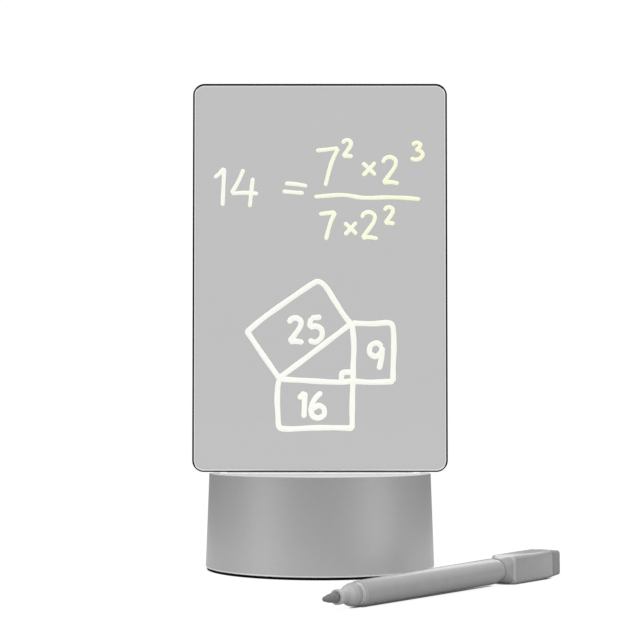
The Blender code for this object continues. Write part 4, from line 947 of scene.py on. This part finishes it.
def smoothed(points):
    """Even steps along a smooth line through points."""
    route = [Vector(point) for point in points]
    ends = [route[0] * 2 - route[1]] + route + [route[-1] * 2 - route[-2]]
    line = []
    for before, start, end, after in zip(ends, ends[1:], ends[2:], ends[3:]):
        steps = max(2, round((end - start).length / INK_STEP))
        for step in range(steps):
            share = step / steps
            line.append(0.5 * (start * 2 + (end - before) * share
                               + (before * 2 - start * 5 + end * 4 - after) * share ** 2
                               + (start * 3 - before - end * 3 + after) * share ** 3))
    line.append(route[-1])
    return line


def stroke(curve, points, width, phase):
    """One marker stroke with round ends and a slightly uneven width."""
    line = smoothed(points)
    lengths = [0]
    for start, end in zip(line, line[1:]):
        lengths.append(lengths[-1] + (end - start).length)
    reach = width / 2
    spline = curve.splines.new('POLY')
    spline.points.add(len(line) - 1)
    for point, place, length in zip(spline.points, line, lengths):
        from_end = min(length, lengths[-1] - length)
        share = min(1, (from_end + reach * END_SHARE) / reach)
        swing = 1 + WIDTH_SWING * math.sin(length / width + phase)
        point.co = (place.x * MM, place.y * MM, 0, 1)
        point.radius = math.sqrt(1 - (1 - share) ** 2) * swing


def strokes(name, lines, width, material):
    """Marker strokes as low beads of ink on the front face."""
    curve = bpy.data.curves.new(name, 'CURVE')
    curve.dimensions = '3D'
    curve.bevel_depth = width / 2 * MM
    curve.bevel_resolution = BEAD_STEPS
    curve.use_fill_caps = True
    for index, points in enumerate(lines):
        stroke(curve, points, width, index * PHASE_STEP)
    item = placed(name, curve)
    mesh = bpy.data.meshes.new_from_object(item.evaluated_get(bpy.context.evaluated_depsgraph_get()))
    bpy.data.objects.remove(item)
    bpy.data.curves.remove(curve)
    shape = bmesh.new()
    shape.from_mesh(mesh)
    bpy.data.meshes.remove(mesh)
    face = -PANEL_THICKNESS / 2 - INK_LIFT
    for point in shape.verts:
        bulge = max(0, point.co.z) / (width / 2 * MM) * INK_BULGE
        point.co = (point.co.x, face - bulge, PANEL_FOOT + point.co.y)
    piece(name, shape, [material], "panel", None)


def written(figures):
    """The strokes of plain figures at their places."""
    lines = []
    for figure, left, foot, height in figures:
        for shares in FIGURE_SHARES[figure]:
            lines.append([(left + x * height, foot + y * height) for x, y in shares])
    return lines


def marker_strokes():
    """The squares with their numbers, and the sum above them."""
    warm = ink("marker_warm", *WARM_INK)
    strokes("ink_squares", SQUARES, FIGURE_WIDTH, warm)
    strokes("ink_square_numbers", written(SQUARE_FIGURES), FIGURE_WIDTH, warm)
    strokes("ink_sum", list(SUM_LINES) + written(SUM_FIGURES), SUM_WIDTH, ink("marker_yellow", *YELLOW_INK))


def power_button():
    """Round button with a flange inside the wall and a shallow dish."""
    low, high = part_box("power_button")
    depth = high.y - low.y
    flange = BUTTON_RADIUS + BUTTON_FLANGE
    corners = [(0, 0, 0), (flange, 0, 0), (flange, BUTTON_FLANGE, 0),
               (BUTTON_RADIUS, BUTTON_FLANGE, 0), (BUTTON_RADIUS, depth, BUTTON_EDGE)]
    corners += [(BUTTON_RADIUS * out, depth - BUTTON_DISH * down, 0) for out, down in DISH_SHARES]
    plastic = surface("button_plastic", even(0.26), 0.42)
    shape = spun(filleted(corners), PEN_STEPS, back_place("power_button", low.y))
    piece("round_button", shape, [plastic], "button", "button_grey", "power_button")


def light_pipe():
    """Clear pin with a collar inside the wall and a low dome."""
    low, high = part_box("charge_indicator")
    rear = LIGHT_COLLAR_FRONT - LIGHT_COLLAR_LENGTH
    profile = [(0, low.y), (LIGHT_RADIUS, low.y), (LIGHT_RADIUS, rear), (LIGHT_COLLAR, rear),
               (LIGHT_COLLAR, LIGHT_COLLAR_FRONT), (LIGHT_RADIUS, LIGHT_COLLAR_FRONT)]
    profile += [(LIGHT_RADIUS * out, high.y - LIGHT_DOME * down) for out, down in DOME_SHARES]
    piece("light_pipe", spun(profile, HOLE_STEPS, back_place("charge_indicator", 0)),
          [lamp("clear_lens", (0.8, 0.85, 0.82), 0.1)], "base", "light_pipe", "charge_indicator")


def charging_inlet():
    """Steel shroud of the inlet, open to the back."""
    low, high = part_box("usb_socket")
    length = high.y - low.y
    shroud = slab(high.x * 2, high.z - low.z, USB_CORNER, 0, length)
    soften(shroud, edges_at(shroud, length), USB_EDGE, 2)
    hollow = slab((high.x - USB_WALL) * 2, high.z - low.z - USB_WALL * 2, USB_CORNER - USB_WALL,
                  USB_BACK, length + CUT_MARGIN)
    shroud = combined(shroud, 'DIFFERENCE', [hollow])
    bmesh.ops.transform(shroud, matrix=back_place("usb_socket", low.y), verts=shroud.verts)
    steel = surface("inlet_steel", (0.6, 0.6, 0.62), 0.25, 1.0, spread=0.03, depth=0.002 * MM)
    piece("inlet_shroud", shroud, [steel], "base", "socket_steel", "usb_socket")


def pen_place():
    """The pen's axis, as a place whose Z axis runs from the tip to the cap."""
    along = Vector((math.cos(PEN_HEADING) * math.cos(PEN_RISE), math.sin(PEN_HEADING) * math.cos(PEN_RISE),
                    math.sin(PEN_RISE)))
    across = Vector((math.sin(PEN_HEADING), -math.cos(PEN_HEADING), 0))
    place = Matrix((across, along.cross(across), along)).transposed().to_4x4()
    place.translation = PEN_TIP
    return place


def banded(shape, place, bands):
    """Gives faces a finish by how far along a place's axis they lie; bands are (start, end, finish)."""
    back = place.inverted()
    for face in shape.faces:
        distance = (back @ face.calc_center_median()).z
        for start, end, finish in bands:
            if start < distance < end:
                face.material_index = finish
    return shape


def pen_nib(place):
    """Felt nib with a worn tip, a shoulder and a shank inside the section."""
    profile = [(radius * MM, height * MM) for radius, height in NIB_TIP]
    profile += [(NIB_RADIUS, NIB_END - NIB_SHOULDER), (NIB_RADIUS, NIB_END), (NIB_SHANK, NIB_END),
                (NIB_SHANK, PLUG_END), (0, PLUG_END)]
    felt = surface("nib_felt", even(0.15), 0.6, spread=0.35, patch=0.6 * MM, grain=0.15 * MM,
                   depth=0.03 * MM)
    piece("felt_nib", spun(profile, PEN_STEPS, place), [felt], "pen", "nib_felt", "pen_nib")


def pen_section(place):
    """Stepped section: a collar, a flare, a band and a ring, and the plug inside the barrel; the collar, the
    flare and the ring carry a painted highlight.
    """
    narrow = COLLAR_RADIUS - RING_STEP
    wide = SECTION_RADIUS + RING_STEP
    profile = filleted([(SECTION_BORE, SECTION_START, 0), (COLLAR_RADIUS, SECTION_START, COLLAR_EDGE),
                        (COLLAR_RADIUS, COLLAR_RING, 0), (narrow, COLLAR_RING, 0),
                        (narrow, COLLAR_END, NECK_FILLET), (FLARE_RADIUS, FLARE_MIDDLE, FLARE_FILLET),
                        (SECTION_RADIUS, FLARE_END, NECK_FILLET), (SECTION_RADIUS, SECTION_RING, 0),
                        (wide, SECTION_RING, 0), (wide, BARREL_START, 0), (PLUG_RADIUS, BARREL_START, 0),
                        (PLUG_RADIUS, PLUG_END, 0), (SECTION_BORE, PLUG_END, 0)])
    shape = banded(spun(profile, PEN_STEPS, place), place,
                   [(SECTION_START, COLLAR_RING, PEN_PAINTED_HIGHLIGHT), (COLLAR_END - FIT, FLARE_MIDDLE, PEN_PAINTED_HIGHLIGHT),
                    (FLARE_END, SECTION_RING, BAND), (SECTION_RING, BARREL_START + FIT, PEN_PAINTED_HIGHLIGHT)])
    finishes = [surface("section_plastic", even(0.34), 0.26), surface("section_ring_painted_highlight", even(0.39), 0.28),
                surface("section_band", even(0.28), 0.3)]
    piece("grip_section", shape, finishes, "pen", "pen_section_grey", "pen_section")


def pen_barrel(place, plastic, painted_highlight):
    """Tapered barrel with a painted highlight on its front edge, and the plug that closes it and carries the
    cap.
    """
    barrel = filleted([(BARREL_BORE, BARREL_START, 0), (BARREL_FRONT, BARREL_START, BARREL_EDGE),
                       (BARREL_REAR, BARREL_END, BARREL_EDGE), (BARREL_BORE, BARREL_END, 0)])
    shape = banded(spun(barrel, PEN_STEPS, place), place,
                   [(BARREL_START - FIT, BARREL_START + BARREL_EDGE, PEN_PAINTED_HIGHLIGHT)])
    piece("marker_barrel", shape, [plastic, painted_highlight], "pen", "pen_grey", "pen_barrel")
    tail = filleted([(0, TAIL_ROOT, 0), (PLUG_RADIUS, TAIL_ROOT, TAIL_ROOT_EDGE),
                     (PLUG_RADIUS, TAIL_START, 0), (BARREL_REAR - BARREL_EDGE, TAIL_START, 0),
                     (TAIL_NECK, TAIL_NECK_END, 0), (TAIL_POST, TAIL_NECK_END, 0),
                     (TAIL_POST, TAIL_POST_END, TAIL_POST_EDGE), (0, TAIL_POST_END, 0)])
    piece("tail_stem", spun(tail, PEN_STEPS, place), [plastic], "pen", "pen_grey", "pen_tail_plug")


def pen_cap(place, plastic, painted_highlight):
    """Cap that goes from a round mouth to a square body, with a pocket for the felt end."""
    stations = [(CAP_START, CAP_MOUTH - CAP_EDGE, CAP_MOUTH - CAP_EDGE),
                (CAP_START + CAP_EDGE, CAP_MOUTH, CAP_MOUTH)]
    for step in range(1, CAP_SHOULDER_STEPS):
        share = step / CAP_SHOULDER_STEPS
        form = share ** CAP_SHOULDER_BEND
        stations.append((CAP_START + (CAP_SQUARE - CAP_START) * share,
                         CAP_MOUTH + (CAP_HALF - CAP_MOUTH) * form,
                         CAP_MOUTH + (CAP_CORNER - CAP_MOUTH) * form))
    rim = CAP_EDGE * CAP_RIM_SHARE
    stations += [(CAP_SQUARE, CAP_HALF, CAP_CORNER), (CAP_END - CAP_EDGE, CAP_HALF, CAP_CORNER),
                 (CAP_END - rim, CAP_HALF - rim, CAP_CORNER), (CAP_END, CAP_HALF - CAP_EDGE, CAP_CORNER)]
    shape = combined(squared(stations, place), 'DIFFERENCE',
                     [rod(CAP_BORE, CAP_START - CUT_MARGIN, CAP_BORE_END, place)])
    pocket = slab((ERASER_ROOT + FIT) * 2, (ERASER_ROOT + FIT) * 2, ERASER_CORNER,
                  CAP_END - (ERASER_START - ERASER_ROOT_END), CAP_END + CUT_MARGIN, place)
    shape = combined(shape, 'DIFFERENCE', [pocket])
    # Painted highlight on the cap's shoulder where it turns square
    banded(shape, place, [(CAP_SQUARE - CAP_LIP, CAP_SQUARE + FIT, PEN_PAINTED_HIGHLIGHT)])
    piece("square_cap", shape, [plastic, painted_highlight], "cap", "pen_grey", "pen_cap")


def felt_end(place):
    """Tapered felt block, let into the end of the cap by its root."""
    stations = [(ERASER_ROOT_END, ERASER_ROOT, ERASER_CORNER), (ERASER_START, ERASER_ROOT, ERASER_CORNER),
                (ERASER_START, ERASER_FRONT, CAP_CORNER),
                (ERASER_END - CAP_EDGE, ERASER_HALF, ERASER_CORNER),
                (ERASER_END, ERASER_HALF - CAP_EDGE, ERASER_CORNER)]
    felt = surface("eraser_felt", even(0.24), 0.9, spread=0.15, patch=0.6 * MM, grain=0.15 * MM,
                   depth=0.05 * MM)
    piece("felt_end", squared(stations, place), [felt], "cap", "eraser_felt", "cap_eraser")


def marker_pen():
    """Every piece of the pen, all round the same axis."""
    place = pen_place()
    plastic = surface("pen_plastic", even(0.285), 0.22, spread=0.03, patch=5 * MM)
    # A lighter grey for painted highlights on the pen's edges and rings
    painted_highlight = surface("pen_painted_highlight", even(0.38), 0.28, spread=0.03)
    pen_nib(place)
    pen_section(place)
    pen_barrel(place, plastic, painted_highlight)
    pen_cap(place, plastic, painted_highlight)
    felt_end(place)


def kept_nodes():
    """Finishes of the CAD nodes that stay in view."""
    repaint(surface("cover_plastic", (0.05, 0.05, 0.052), 0.55), "bottom_cover")
    repaint(surface("zinc_plate", even(0.6), 0.3, 1.0), *numbered("cover_screw", 4),
            *numbered("tray_screw", 2))
    repaint(surface("tray_plastic", even(0.8), 0.5), "led_tray")
    repaint(surface("strip_board", (0.85, 0.85, 0.83), 0.5), "led_board")
    repaint(lamp("warm_phosphor", (1.0, 0.93, 0.6), 2.0), *numbered("led_chip", 8))
    repaint(surface("cell_wrap", (0.05, 0.2, 0.45), 0.4), "battery_cell")
    repaint(surface("nickel_strip", (0.7, 0.68, 0.62), 0.3, 1.0), "battery_tab_positive",
            "battery_tab_negative")
    repaint(surface("board_mask", (0.02, 0.16, 0.06), 0.45), "control_board")
    repaint(surface("header_nylon", (0.82, 0.8, 0.74), 0.5), "battery_connector", "led_connector")
    repaint(surface("chip_resin", even(0.03), 0.4), "charger_chip", "driver_chip", "usb_tongue",
            "switch_body")
    repaint(surface("ferrite", (0.09, 0.09, 0.1), 0.6), "boost_coil")
    repaint(surface("capacitor_body", (0.4, 0.28, 0.16), 0.5), *numbered("capacitor", 4))
    repaint(lamp("indicator_die", (0.85, 0.85, 0.8), 0.3), "indicator_lamp")
    repaint(surface("plunger_plastic", (0.5, 0.08, 0.05), 0.4), "switch_plunger")
    repaint(surface("lead_skin_red", (0.5, 0.02, 0.02), 0.5), "battery_lead_positive", "led_lead_positive")
    repaint(surface("lead_skin_black", even(0.02), 0.5), "battery_lead_negative", "led_lead_negative")
    repaint(surface("ink_fibre", (0.8, 0.8, 0.7), 0.9), "ink_reservoir")


def main():
    """Sets the scene, then makes the base, the panel with its ink, the back and the pen."""
    camera()
    studio()
    floor()
    foot_pad()
    base_shell()
    slot_frame()
    writing_panel()
    marker_strokes()
    power_button()
    light_pipe()
    charging_inlet()
    marker_pen()
    kept_nodes()


main()
